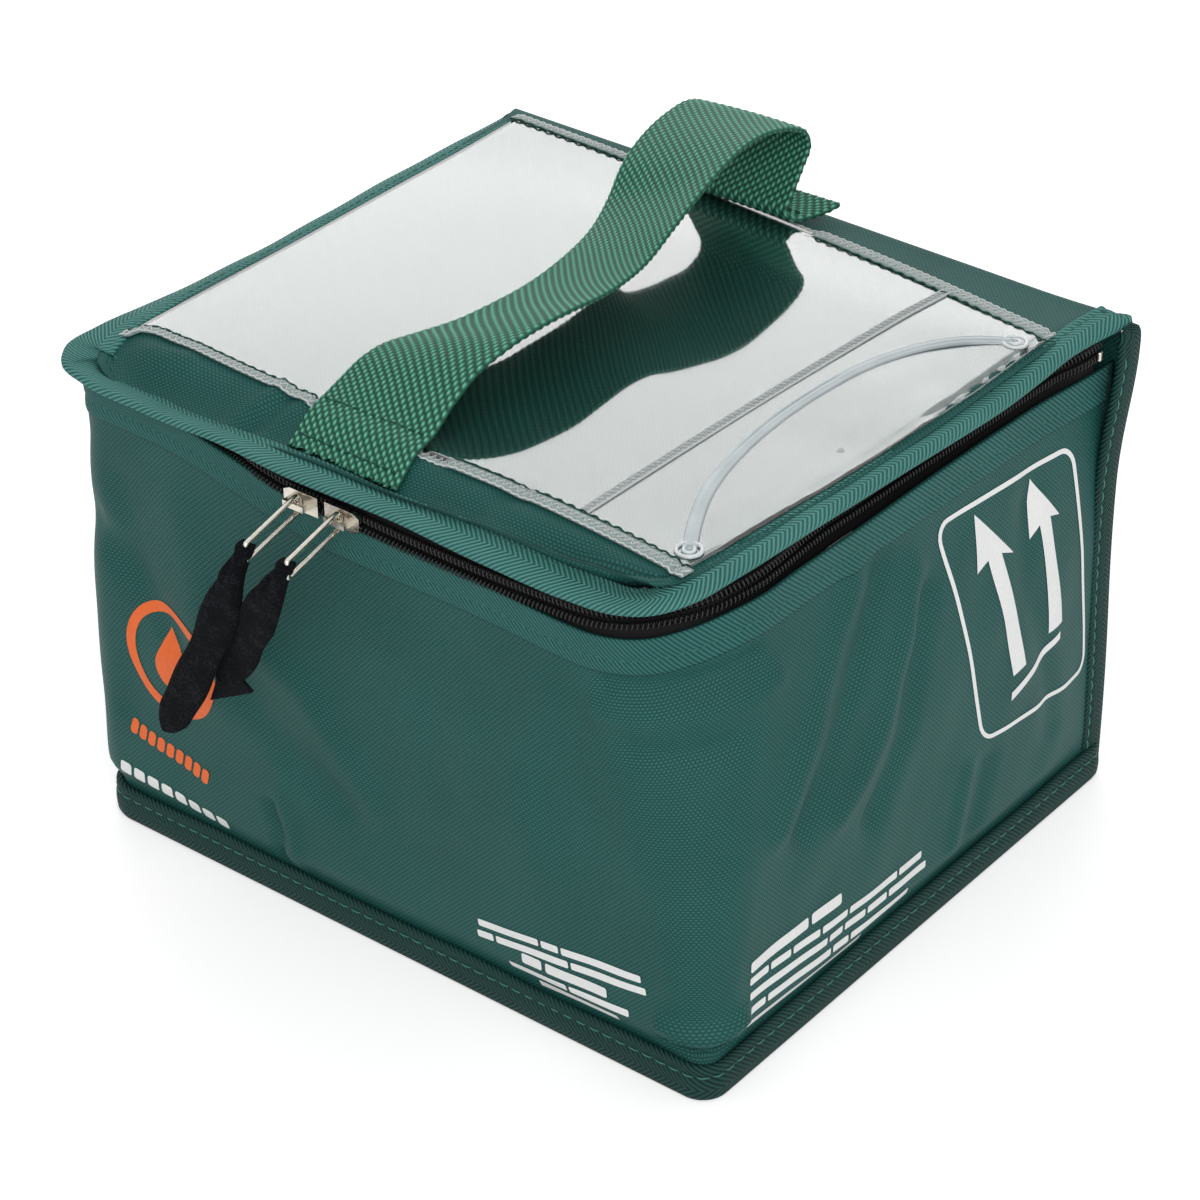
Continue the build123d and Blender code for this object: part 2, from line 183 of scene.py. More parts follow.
def through(stations, x):
    """Values at x of a smooth line through the stations, rows of (x, value...)."""
    rows = np.asarray(stations, float)
    xs, ys = rows[:, 0], rows[:, 1:]
    slopes = np.gradient(ys, xs, axis=0)
    x = np.clip(np.asarray(x, float), xs[0], xs[-1])
    i = np.clip(np.searchsorted(xs, x) - 1, 0, len(xs) - 2)
    gap = (xs[i + 1] - xs[i])[..., None]
    t = (x[..., None] - xs[i][..., None]) / gap
    value = ((2 * t**3 - 3 * t**2 + 1) * ys[i] + (t**3 - 2 * t**2 + t) * gap * slopes[i]
             + (3 * t**2 - 2 * t**3) * ys[i + 1] + (t**3 - t**2) * gap * slopes[i + 1])
    return value[..., 0] if value.shape[-1] == 1 else value


def unit(v):
    return v / np.maximum(np.linalg.norm(v, axis=-1, keepdims=True), 1e-9)


def lengths(path):
    steps = np.linalg.norm(np.diff(path, axis=0), axis=1)
    return np.concatenate([[0], np.cumsum(steps)])


def even(path, step):
    """The same path with its points an even step apart."""
    path = np.asarray(path, float)
    run = lengths(path)
    marks = np.linspace(0, run[-1], max(int(run[-1] / step), 2) + 1)
    return np.stack([np.interp(marks, run, path[:, k]) for k in range(path.shape[1])], axis=1)


def gentle_noise(a, b, scale, seed):
    """A soft, repeatable wobble between -1 and 1 over two coordinates."""
    random = np.random.default_rng(seed)
    total = np.zeros(np.broadcast(a, b).shape)
    for _ in range(6):
        angle, phase, rate = random.uniform(0, 2 * np.pi, 2).tolist() + [random.uniform(0.6, 1.6)]
        total = total + np.sin((a * np.cos(angle) + b * np.sin(angle)) * rate / scale * 2 * np.pi + phase)
    return total / 6


# %% Meshes
def sweep(path, ups, outline, closed=False):
    """Points of an outline, rows of (outward, up), carried along a path. Outward is ahead cross up."""
    path, outline = np.asarray(path, float), np.asarray(outline, float)
    ahead = np.roll(path, -1, 0) - np.roll(path, 1, 0) if closed else np.gradient(path, axis=0)
    ahead = unit(ahead)
    ups = np.broadcast_to(np.asarray(ups, float), path.shape)
    ups = unit(ups - (ups * ahead).sum(1, keepdims=True) * ahead)
    outward = np.cross(ahead, ups)
    if outline.ndim == 2:
        outline = np.broadcast_to(outline, (len(path),) + outline.shape)
    points = path[:, None] + outline[..., :1] * outward[:, None] + outline[..., 1:] * ups[:, None]
    run = lengths(path)
    across = np.stack([lengths(row) for row in outline])
    uv = np.stack([np.broadcast_to(run[:, None], across.shape), across], axis=-1)
    return points, uv


def skin(name, points, uv, round_outline=False, round_path=False, caps=True):
    """A mesh object from a grid of points in millimetres, with its texture map in metres."""
    if round_outline:
        closing = uv[:, :1] + [0, 1] * (uv[:, -1:] * [0, 1] + [0, np.linalg.norm(
            points[0, 0] - points[0, -1])])
        closing[..., 0] = uv[:, :1, 0]
        points, uv = np.concatenate([points, points[:, :1]], 1), np.concatenate([uv, closing], 1)
    if round_path:
        closing = uv[:1].copy()
        closing[..., 0] = uv[-1:, :, 0] + np.linalg.norm(points[0, 0] - points[-1, 0])
        points, uv = np.concatenate([points, points[:1]], 0), np.concatenate([uv, closing], 0)
    rows, columns = points.shape[:2]
    corner = (np.arange(rows - 1)[:, None] * columns + np.arange(columns - 1)).reshape(-1)
    faces = np.stack([corner, corner + columns, corner + columns + 1, corner + 1], axis=1)
    mesh = bpy.data.meshes.new(name)
    mesh.from_pydata((points.reshape(-1, 3) * MM).tolist(), [], faces.tolist())
    layer = mesh.uv_layers.new(name="cloth")
    loops = np.zeros(len(mesh.loops), np.int32)
    mesh.loops.foreach_get("vertex_index", loops)
    layer.data.foreach_set("uv", (uv.reshape(-1, 2)[loops] * MM).astype(np.float32).reshape(-1))
    if round_outline or round_path:
        shape = bmesh.new()
        shape.from_mesh(mesh)
        bmesh.ops.remove_doubles(shape, verts=shape.verts, dist=1e-6)
        if caps and not round_path:
            bmesh.ops.holes_fill(shape, edges=[e for e in shape.edges if e.is_boundary], sides=0)
        bmesh.ops.recalc_face_normals(shape, faces=shape.faces)
        shape.to_mesh(mesh)
        shape.free()
    mesh.shade_smooth()
    piece = bpy.data.objects.new(name, mesh)
    scene.collection.objects.link(piece)
    return piece


def thicken(piece, thickness, offset=-1.0):
    """Gives a sheet its thickness in millimetres, and makes that part of its mesh."""
    solid = piece.modifiers.new("thickness", "SOLIDIFY")
    solid.thickness, solid.offset = thickness * MM, offset
    solid.use_even_offset = False
    return bake_shape(piece)


def bake_shape(piece):
    """Applies the modifiers of a piece to its mesh."""
    bpy.context.view_layer.update()
    mesh = bpy.data.meshes.new_from_object(piece.evaluated_get(bpy.context.evaluated_depsgraph_get()))
    piece.modifiers.clear()
    piece.data = mesh
    mesh.name = piece.name
    return piece


def tube(path, radius, sides=8, closed=False, flat=1.0):
    """A round outline carried along a path; flat squeezes it upwards."""
    angles = np.arange(sides) / sides * 2 * np.pi
    outline = np.stack([np.cos(angles) * radius, np.sin(angles) * radius * flat], axis=1)
    path = np.asarray(path, float)
    ahead = np.roll(path, -1, 0) - np.roll(path, 1, 0) if closed else np.gradient(path, axis=0)
    ups = np.where(np.abs(unit(ahead)[:, 2:]) > 0.9, (0.0, 1.0, 0.0), (0.0, 0.0, 1.0))
    return sweep(path, ups, outline, closed)


print("shape helpers ready")

# %% [markdown]
# ## Helpers for finishes
# Each material is one Principled shader. Its weave is a formula on the texture map, which is in metres, so
# the threads have their true size. The same formula gives the colour between the threads and the bump.


# %% Node arithmetic
class Finish:
    """One material: the shader, and short calls that add nodes to it."""

    def __init__(self, name, roughness, **sockets):
        self.material = bpy.data.materials.new(name)
        self.material.use_nodes = True
        self.tree = self.material.node_tree
        self.shader = self.tree.nodes["Principled BSDF"]
        self.set("Roughness", roughness)
        for socket, value in sockets.items():
            self.set(socket.replace("_", " "), value)

    def set(self, socket, value):
        target = self.shader.inputs[socket]
        if isinstance(value, bpy.types.NodeSocket):
            self.tree.links.new(value, target)
        else:
            target.default_value = value

    def math(self, operation, a, b=0.0, c=0.0):
        node = self.tree.nodes.new("ShaderNodeMath")
        node.operation = operation
        for slot, value in zip(node.inputs, (a, b, c)):
            if isinstance(value, bpy.types.NodeSocket):
                self.tree.links.new(value, slot)
            else:
                slot.default_value = value
        return node.outputs[0]

    def cloth_map(self):
        node = self.tree.nodes.new("ShaderNodeUVMap")
        node.uv_map = "cloth"
        parts = self.tree.nodes.new("ShaderNodeSeparateXYZ")
        self.tree.links.new(node.outputs[0], parts.inputs[0])
        return parts.outputs["X"], parts.outputs["Y"]

    def noise(self, scale, detail=3.0, stretch=None):
        """Soft noise from 0 to 1 in the object's own space; scale is in marks per metre."""
        place = self.tree.nodes.new("ShaderNodeTexCoord").outputs["Object"]
        if stretch:
            mapping = self.tree.nodes.new("ShaderNodeMapping")
            mapping.inputs["Scale"].default_value = stretch
            self.tree.links.new(place, mapping.inputs["Vector"])
            place = mapping.outputs["Vector"]
        node = self.tree.nodes.new("ShaderNodeTexNoise")
        node.inputs["Scale"].default_value = scale
        node.inputs["Detail"].default_value = detail
        self.tree.links.new(place, node.inputs["Vector"])
        return node.outputs["Fac"]

    def shades(self, factor, *colours):
        """A colour ramp: evenly spaced colours picked by factor."""
        node = self.tree.nodes.new("ShaderNodeValToRGB")
        ramp = node.color_ramp
        for k, colour in enumerate(colours):
            spot = k / (len(colours) - 1)
            stop = ramp.elements[0] if k == 0 else ramp.elements.new(spot) if k < len(colours) - 1 \
                else ramp.elements[-1]
            stop.position, stop.color = spot, (*colour, 1)
        self.tree.links.new(factor, node.inputs[0])
        return node.outputs[0]

    def bump(self, height, depth, strength=1.0):
        """Relief from a height of 0 to 1; depth is in millimetres."""
        node = self.tree.nodes.new("ShaderNodeBump")
        node.inputs["Strength"].default_value = strength
        node.inputs["Distance"].default_value = depth * MM
        self.tree.links.new(height, node.inputs["Height"])
        self.tree.links.new(node.outputs[0], self.shader.inputs["Normal"])

    def wave(self, distance, pitch):
        """A sine from -1 to 1 that repeats every pitch millimetres along a distance in metres."""
        return self.math("SINE", self.math("MULTIPLY", distance, 2 * math.pi / (pitch * MM)))


def threads(finish, long, wide, lean=0.0, powers=(0.8, 0.8)):
    """Short threads in rows, each row half a thread further on: 1 on a thread and 0 in the gaps."""
    u, v = finish.cloth_map()
    row = finish.math("MULTIPLY", v, 1 / (wide * MM))
    odd = finish.math("ABSOLUTE", finish.math("MODULO", finish.math("FLOOR", row), 2.0))
    along = finish.math("MULTIPLY_ADD", odd, 0.5, finish.math("MULTIPLY", u, 1 / (long * MM)))
    along = finish.math("MULTIPLY_ADD", finish.math("FRACT", row), lean, along)
    heights = [finish.math("POWER", finish.math("ABSOLUTE", finish.math("SINE", finish.math(
        "MULTIPLY", place, math.pi))), power) for place, power in zip((along, row), powers)]
    return finish.math("MULTIPLY", heights[0], heights[1])


def herringbone(finish, pitch, slant, centre):
    """Slanted ribs that turn back at a centre line, centre millimetres up the texture map."""
    u, v = finish.cloth_map()
    rise = finish.math("ABSOLUTE", finish.math("SUBTRACT", v, centre * MM))
    slanted = finish.math("MULTIPLY_ADD", rise, slant, u)
    ribs = finish.math("MULTIPLY_ADD", finish.wave(slanted, pitch), 0.5, 0.5)
    return finish.math("POWER", ribs, 0.75)


# %% [markdown]
# ## Finishes
# The nylon is a fine plain weave with a thin coating, so it shines a little. The tapes are herringbone,
# the handle is a coarse basket weave, the pull straps are felt with hook tape, and the window is clear
# vinyl that takes its look from what it mirrors.

# %% Cloth and tape materials
GREEN_DEEP, GREEN, GREEN_LIGHT = (0.0050, 0.041, 0.036), (0.0125, 0.080, 0.071), (0.036, 0.160, 0.145)
CLOTH_SHINE = 0.16


def nylon():
    finish = Finish("coated_nylon", 0.5, Specular_IOR_Level=CLOTH_SHINE)
    weave = threads(finish, 1.45, 0.74)
    cloudy = finish.noise(38.0)
    tone = finish.math("ADD", finish.math("MULTIPLY", weave, 0.75), finish.math("MULTIPLY", cloudy, 0.25))
    finish.set("Base Color", finish.shades(tone, GREEN_DEEP, GREEN, GREEN_LIGHT))
    finish.bump(weave, 0.16, 0.8)
    return finish.material


def rib_tape(name, colours, centre, pitch=1.7, slant=1.1, relief=0.3):
    finish = Finish(name, 0.62, Specular_IOR_Level=CLOTH_SHINE)
    ribs = herringbone(finish, pitch, slant, centre)
    u, v = finish.cloth_map()
    fine = finish.math("MULTIPLY_ADD", finish.wave(finish.math("ADD", u, v), 0.8), 0.5, 0.5)
    tone = finish.math("ADD", finish.math("MULTIPLY", ribs, 0.72), finish.math("MULTIPLY", fine, 0.10))
    tone = finish.math("ADD", tone, finish.math("MULTIPLY", finish.noise(60.0), 0.18))
    finish.set("Base Color", finish.shades(tone, *colours))
    finish.bump(ribs, relief)
    return finish.material


WEB_LONG, WEB_WIDE, WEB_LEAN = 2.6, 38 / 28, 0.22


def webbing():
    finish = Finish("handle_webbing", 0.5, Specular_IOR_Level=0.22)
    weave = threads(finish, WEB_LONG, WEB_WIDE, WEB_LEAN, (1.8, 0.9))
    tone = finish.math("ADD", finish.math("MULTIPLY", weave, 0.88),
                       finish.math("MULTIPLY", finish.noise(900.0, 1.0), 0.12))
    finish.set("Base Color", finish.shades(tone, (0.004, 0.030, 0.019), (0.036, 0.200, 0.125),
                                           (0.180, 0.530, 0.380)))
    finish.bump(weave, 0.15)
    return finish.material


def felt(name, base, high):
    finish = Finish(name, 0.95, Specular_IOR_Level=0.1)
    fuzz = finish.noise(1500.0, 4.0)
    clumps = finish.noise(220.0, 4.0)
    tone = finish.math("ADD", finish.math("MULTIPLY", fuzz, 0.6), finish.math("MULTIPLY", clumps, 0.4))
    finish.set("Base Color", finish.shades(tone, base, base, high))
    finish.bump(tone, 1.0)
    return finish.material


def thread(name, colour):
    finish = Finish(name, 0.5, Specular_IOR_Level=CLOTH_SHINE)
    ply = finish.noise(2500.0, 1.0)
    dark = tuple(c * 0.6 for c in colour)
    finish.set("Base Color", finish.shades(ply, dark, colour))
    finish.bump(ply, 0.05)
    return finish.material


# %% Vinyl, foam, metal and print materials
def grained(name, roughness, dark, light, scale=120.0, depth=0.05, **sockets):
    """A quiet material for moulded or coated parts: fine grain in colour and relief."""
    finish = Finish(name, roughness, **sockets)
    grain = finish.noise(scale, 4.0)
    finish.set("Base Color", finish.shades(grain, dark, light))
    finish.bump(grain, depth, 0.6)
    return finish.material


def clear_vinyl():
    finish = Finish("clear_vinyl", 0.045, Transmission_Weight=1.0, IOR=1.52, Coat_Weight=1.0,
                    Coat_Roughness=0.03, Coat_IOR=1.6)
    haze = finish.noise(26.0, 2.0)
    finish.set("Base Color", finish.shades(haze, (0.93, 0.97, 0.955), (0.99, 1.0, 0.995)))
    finish.bump(finish.noise(9.0, 1.0), 0.35, 0.5)
    return finish.material


def metal():
    finish = Finish("nickel_plate", 0.24, Metallic=1.0)
    scuffs = finish.noise(420.0, 5.0, (1.0, 1.0, 5.0))
    finish.set("Base Color", finish.shades(scuffs, (0.42, 0.38, 0.32), (0.66, 0.62, 0.55),
                                           (0.78, 0.75, 0.69)))
    finish.set("Roughness", finish.math("MULTIPLY_ADD", scuffs, 0.3, 0.1))
    finish.bump(scuffs, 0.03)
    return finish.material


# The hem tape's palette is painted lighter, as painted light on its top; the tape is the same as on the facing and
# base.
LIT_HEM_GREENS = ((0.012, 0.062, 0.054), (0.044, 0.175, 0.155), (0.120, 0.330, 0.300))
# The facing's palette is the same tape painted darker, as painted shade under the hem's overhang.
SHADED_FACING_GREENS = ((0.006, 0.038, 0.034), (0.018, 0.098, 0.088), (0.048, 0.180, 0.168))
# The base tape's palette is the same tape painted darker, as painted shade under the bulging wall; the corner tapes
# take it too.
SHADED_TAPE_GREENS = ((0.0016, 0.0105, 0.0085), (0.0052, 0.032, 0.028), (0.018, 0.080, 0.070))
finishes = {
    "coated_nylon": nylon(),
    "herringbone_tape": rib_tape("herringbone_tape", LIT_HEM_GREENS, 6.2),
    "base_tape": rib_tape("base_tape", SHADED_TAPE_GREENS, 9.7),
    "webbing": webbing(),
    "insulating_foam": grained("insulating_foam", 0.9, (0.60, 0.62, 0.63), (0.80, 0.82, 0.83), 900.0, 0.3),
    "stiffener_board": grained("stiffener_board", 0.7, (0.07, 0.07, 0.07), (0.13, 0.13, 0.13), 300.0),
    "liner_vinyl": grained("liner_vinyl", 0.38, (0.52, 0.54, 0.54), (0.66, 0.68, 0.68), 260.0, 0.1),
    "zip_tape": grained("zip_tape", 0.8, (0.004, 0.004, 0.005), (0.012, 0.012, 0.013), 1500.0, 0.15,
                         Specular_IOR_Level=0.15),
    "zip_coil": grained("zip_coil", 0.38, (0.004, 0.004, 0.004), (0.012, 0.012, 0.013), 300.0,
                         Specular_IOR_Level=0.4),
    "slider_metal": metal(),
    "felt_strap": felt("felt_strap", (0.003, 0.0035, 0.005), (0.050, 0.053, 0.062)),
    "clear_vinyl": clear_vinyl(),
}
WHITE_PRINT = grained("white_print", 0.55, (0.74, 0.75, 0.74), (0.86, 0.87, 0.86), 700.0, 0.05)
ORANGE_PRINT = grained("orange_print", 0.55, (0.72, 0.100, 0.008), (0.88, 0.155, 0.012), 700.0, 0.05)
EDGE_VINYL = grained("edging_vinyl", 0.3, (0.11, 0.17, 0.16), (0.40, 0.48, 0.47), 750.0, 0.5,
                     Specular_IOR_Level=0.3)
# The facing and corner tapes below take the palettes with painted shade.
SHADED_FACING_TAPE = rib_tape("facing_tape", SHADED_FACING_GREENS, 7.0, 1.7, 1.1, 0.2)
SHADED_CORNER_TAPE = rib_tape("corner_tape", SHADED_TAPE_GREENS, 5.6)
GREEN_THREAD = thread("green_thread", (0.085, 0.27, 0.21))
DARK_THREAD = thread("dark_thread", (0.012, 0.075, 0.055))
TAPE_THREAD = thread("tape_thread", (0.045, 0.19, 0.145))
PALE_THREAD = thread("pale_thread", (0.74, 0.78, 0.77))
print(len(finishes), "finishes for the record's slots")


def dress(piece, slot, body=None, replaced=(), material=None):
    """Gives a piece its finish, its body and the CAD nodes that it stands for."""
    piece.data.materials.clear()
    piece.data.materials.append(material or finishes[slot])
    if body:
        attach(piece, body)
    if replaced:
        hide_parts(*replaced)
    return piece


# %% [markdown]
# ## The wall's form
# One function gives every layer of the walls. It takes a place along the wall, a height and a depth, and
# returns a point. The cloth is flat at the base seam, bulges over it, leans in at the rim on the right and
# is pulled into a wide curve at the front right corner, where the lid draws the rim inwards.

# %% Wall form
HALF_WIDTH, HALF_DEPTH = 110.0, 96.0
LEFT_RUN, FRONT_RUN = 2 * HALF_DEPTH, 2 * HALF_WIDTH
CORNER_LEFT, CORNER_RIGHT = LEFT_RUN, LEFT_RUN + FRONT_RUN
WALL_RUN = CORNER_RIGHT + LEFT_RUN
RIM_LIFT = ((0, 3), (96, 5), (168, 9), (192, 13), (208, 13.5), (232, 12.6), (253, 8.8), (274, 4.0), (290, 2.4),
            (308, 2.2), (343, 1.8), (374, 0.4), (388, 0.8), (400, 2.0), (412, 4.5), (430, 8.0), (447, 9.2),
            (482, 8.6), (510, 8.4), (567, 6.6), (604, 4.8))
ZIP_LIFT = ((0, 3), (96, 4.5), (240, 4.5), (262, 3.0), (276, 0.8), (290, 0), (378, 0), (396, 1.8), (412, 4.5),
            (430, 6.4), (452, 7.0), (498, 6.4), (567, 6.0), (604, 6.8))


def rim_lift(a):
    return through(RIM_LIFT, a)


def zip_lift(a):
    """The zip stays level along the front, where the sliders run, and behind the raised rim."""
    return through(ZIP_LIFT, a)


def near_line(a, z, line, width):
    """1 on a crease line through (a, z) points, falling smoothly to 0 beside it."""
    line = even(np.asarray(line, float), 3.0)
    start, step = line[:-1], np.diff(line, axis=0)
    da, dz = a[..., None] - start[:, 0], z[..., None] - start[:, 1]
    share = np.clip((da * step[:, 0] + dz * step[:, 1]) / (step**2).sum(1), 0, 1)
    gap = np.hypot(da - share * step[:, 0], dz - share * step[:, 1]).min(-1)
    return np.exp(-((gap / width) ** 2))


# Creases: outward height in millimetres, half width, and points (place along the wall, height).
CREASE_DEPTH = 1.3
CREASES = (
    (1.9, 5.0, ((480, 127), (472, 118), (463, 106), (457, 96), (449, 87), (440, 74))),
    (-1.9, 4.5, ((492, 125), (483, 110), (473, 98), (461, 82), (450, 68))),
    (2.2, 5.0, ((506, 118), (500, 103), (492, 93), (486, 81), (474, 71), (465, 65))),
    (-2.0, 5.0, ((510, 108), (504, 92), (498, 73), (488, 62), (481, 55))),
    (1.2, 3.4, ((529, 42), (526, 32), (522, 22))),
    (-1.2, 4.0, ((539, 40), (536, 30), (531, 20))),
    (-1.5, 2.6, ((384, 120), (400, 121), (418, 123), (436, 126))),
    (1.6, 4.0, ((380, 111), (402, 112), (424, 114), (444, 117))),
    (-1.2, 3.0, ((392, 103), (408, 102), (424, 104))),
    (-5.6, 2.4, ((401, 16.6), (412, 14.8), (422, 16.6))),
    (2.4, 2.8, ((400, 22.4), (412, 20.8), (423, 22.8))),
    (1.5, 6.0, ((262, 82), (275, 77), (285, 65), (296, 50))),
    (-1.6, 7.0, ((252, 70), (273, 53), (290, 44))),
    (-1.5, 6.0, ((198, 101), (210, 93), (219, 85), (229, 73))),
    (-1.6, 2.2, ((262, 15), (263, 24), (261, 33))),
    (1.1, 3.0, ((268, 15), (269, 24), (266, 36))),
    (-1.0, 6.0, ((210, 118), (214, 96), (212, 70), (206, 44))),
    (1.0, 9.0, ((232, 116), (236, 92), (240, 60))),
    (-0.8, 7.0, ((330, 112), (322, 92), (326, 66))),
    (0.9, 8.0, ((360, 108), (350, 84), (356, 56))),
    (-1.0, 5.0, ((560, 112), (556, 92), (566, 62), (572, 34))),
    (1.2, 6.0, ((140, 118), (132, 92), (120, 60), (112, 30))),
    (-1.3, 5.0, ((110, 116), (104, 90), (92, 56))),
    (1.2, 6.0, ((60, 114), (66, 84), (74, 48))),
)


def plan_point(a, z, inset):
    """The wall's plan at one height: x, y and the outward direction."""
    lean = 4.6 * smooth(78, 136, z) * (1 - 0.4 * smooth(560, 600, a))
    flare = 1.7 * smooth(56, 126, z)
    left, front, right = -(HALF_WIDTH - inset + flare), -(HALF_DEPTH - inset), HALF_WIDTH - inset - lean
    small = np.maximum(9 + 4 * smooth(60, 130, z) - inset, 1.0)
    wide = np.maximum(5.5 + 4.5 * smooth(8, 26, z) + 26 * smooth(22, 116, z) - inset, 1.0)
    left_run, front_run = HALF_DEPTH - front, right - left
    s = np.where(a <= CORNER_LEFT, a / LEFT_RUN * left_run,
                 np.where(a <= CORNER_RIGHT, left_run + (a - CORNER_LEFT) / FRONT_RUN * front_run,
                          left_run + front_run + (a - CORNER_RIGHT) / LEFT_RUN * left_run))
    to_left, to_right = s - left_run, s - left_run - front_run
    on_left, on_front = to_left < 0, to_right < 0
    x = np.where(on_left, left, np.where(on_front, left + to_left, right))
    y = np.where(on_left, HALF_DEPTH - s, np.where(on_front, front, front + to_right))
    nx = np.where(on_left, -1.0, np.where(on_front, 0.0, 1.0))
    ny = np.where(on_left, 0.0, np.where(on_front, -1.0, 0.0))
    for side, to_corner, radius, centre in ((-1, to_left, small, left + small), (1, to_right, wide, right - wide)):
        round_it = np.abs(to_corner) < radius
        angle = (to_corner / radius + 1) * np.pi / 4
        cx, cy = (-np.cos(angle), -np.sin(angle)) if side < 0 else (np.sin(angle), -np.cos(angle))
        x = np.where(round_it, centre + radius * cx, x)
        y = np.where(round_it, front + radius + radius * cy, y)
        nx, ny = np.where(round_it, cx, nx), np.where(round_it, cy, ny)
    return x, y, nx, ny


def wall_point(a, z, inset=0.0, creased=True, lift=rim_lift):
    """A point of the walls: a runs from the back left corner round the front, z is the height."""
    a, z = np.broadcast_arrays(np.asarray(a, float), np.asarray(z, float))
    x, y, nx, ny = plan_point(a, z, inset)
    height = z + lift(a) * smooth(36, 120, z)
    swell = 3.3 * smooth(11, 20, z) * (1 - smooth(58, 122, z))
    swell = swell * (1 + 0.45 * gentle_noise(a, z, 90, 3))
    at_seam = smooth(3, 36, np.minimum(a, WALL_RUN - a))
    if creased:
        for depth, width, line in CREASES:
            swell = swell + CREASE_DEPTH * depth * near_line(a, height, line, width)
        swell = swell + 0.5 * gentle_noise(a, z, 26, 5) * smooth(14, 24, z) * (1 - smooth(112, 121, z))
    swell = swell * at_seam
    return np.stack([x + nx * swell, y + ny * swell, height], axis=-1)


def wall_sheet(name, heights, inset, a_step=2.0, a_ends=(0.0, WALL_RUN), creased=True, lift=rim_lift):
    """A sheet of the wall between two ends, at the given heights and depths."""
    a = np.linspace(*a_ends, int((a_ends[1] - a_ends[0]) / a_step))[:, None]
    heights = np.asarray(heights, float)[None]
    points = wall_point(a, heights, np.asarray(inset, float), creased, lift)
    uv = np.stack(np.broadcast_arrays(a, heights), axis=-1)
    return skin(name, points, uv)


# %% Wall cloth
wall_cloth = wall_sheet("wall_cloth", np.arange(4, 134.1, 1.9), 0.0, 1.7)
thicken(wall_cloth, 0.7)
dress(wall_cloth, "coated_nylon", "box", ["wall_shell"])
print("wall cloth:", len(wall_cloth.data.vertices), "points")

# %% [markdown]
# ## The lid's form
# The lid hangs on a bound hem. Its outer and inner edges are two lines through measured stations, so the
# hem can curl up at the front left and lie flat along the right. The top rises from the hem to a crowned
# window.

# %% Lid form
HEM_OUT = ((0, -113, 97, 149.2), (50, -112.4, 46, 150.4), (110, -112.3, -14, 149.8), (160, -113.6, -62, 151),
           (178, -115.2, -80, 151.8), (188, -115, -91.5, 151.6), (196, -109.8, -98.6, 151),
           (206, -100, -101, 150.4), (228, -79, -101.2, 149), (256, -51, -101.2, 149.2), (285, -23, -101, 146.8),
           (316, 8, -101, 147.2), (350, 42, -101, 145.2), (376, 68, -101, 145), (396, 86, -100.5, 146.8),
           (410, 96, -96.5, 149), (421, 101.3, -88, 150.4), (435, 103.5, -73, 151), (452, 104.6, -58, 151.2),
           (468, 105.5, -43, 151.2), (514, 107.6, 6, 150.3), (548, 108, 40, 148.8), (566, 108.2, 58, 149.5),
           (580, 108.6, 72, 150.9), (594, 110.6, 87, 151.2), (604, 113.2, 97.3, 151.4))
HEM_IN = ((0, -103.5, 97, 154.1), (50, -103.3, 46, 154.1), (110, -103, -14, 154.1), (160, -103.5, -62, 153.9),
          (178, -103.2, -78, 152.6), (188, -100.5, -86.5, 150), (196, -96, -90.3, 147.8),
          (206, -89, -91.3, 146), (228, -72, -91.5, 145.5), (256, -48, -91.5, 146.5),
          (285, -21, -91.5, 148.3), (316, 8, -91.5, 147.6), (350, 41, -91.8, 149.6), (376, 64, -91.8, 148),
          (396, 83, -91.8, 148.6), (410, 90.5, -90, 151), (421, 93.3, -84, 152.8),
          (435, 95.4, -70, 153.2), (452, 97, -55, 153.3), (468, 98, -41, 153.3), (514, 100.3, 6, 152.9),
          (548, 100.5, 40, 151.6), (570, 100.7, 60, 152.2), (590, 101, 80, 153.3), (604, 102.6, 98, 153.5))
hem_marks = np.linspace(0, WALL_RUN, 420)
hem_outer, hem_inner = through(HEM_OUT, hem_marks), through(HEM_IN, hem_marks)
# The tape's two ends are rounded, and turn down to the corner seams.
to_end = np.minimum(hem_marks, WALL_RUN - hem_marks)
end_round = (1 - np.sqrt(np.clip(1 - (1 - np.clip(to_end / 5.0, 0, 1)) ** 2, 0, 1)))[:, None]
hem_outer += (hem_inner - hem_outer) * 0.22 * end_round
# The cloth rises from the hem to the window slowly along the front, and at once along the sides.
HEM_REACH = np.interp(hem_marks, (176, 196, 256, 316, 350, 376, 405), (2.4, 15, 13, 9, 6.5, 5, 1.3))


FOLD_TOP = ((-112, 155.4), (-60, 155.0), (0, 154.6), (60, 153.8), (90, 153.4), (112, 154.0))
LID_BACK, FOLD_RADIUS, BACK_FACE = 91.5, 4.6, 96.1


def window_height(x, y):
    """The crowned plane of the window and the cloth round it, which meets the fold at the back."""
    crown = np.clip(1 - ((x + 1) / 104) ** 2, 0, 1) * np.clip(1 - ((y - 4) / 96) ** 2, 0, 1)
    level = 153.9 + 2.3 * crown
    return level + (through(FOLD_TOP, x) - 0.4 - level) * smooth(50, LID_BACK, y)


STRIP_FOLDS = ((1.3, 2.2, ((-56, -90), (-50, -84), (-47, -79))), (-0.8, 1.8, ((-50, -91), (-45, -85), (-42, -80))),
               (0.8, 2.0, ((-44, -91), (-40, -86), (-37, -80))), (-0.7, 3.0, ((30, -91), (34, -86), (40, -82))),
               (0.7, 3.0, ((-92, -88), (-86, -82), (-80, -79))))


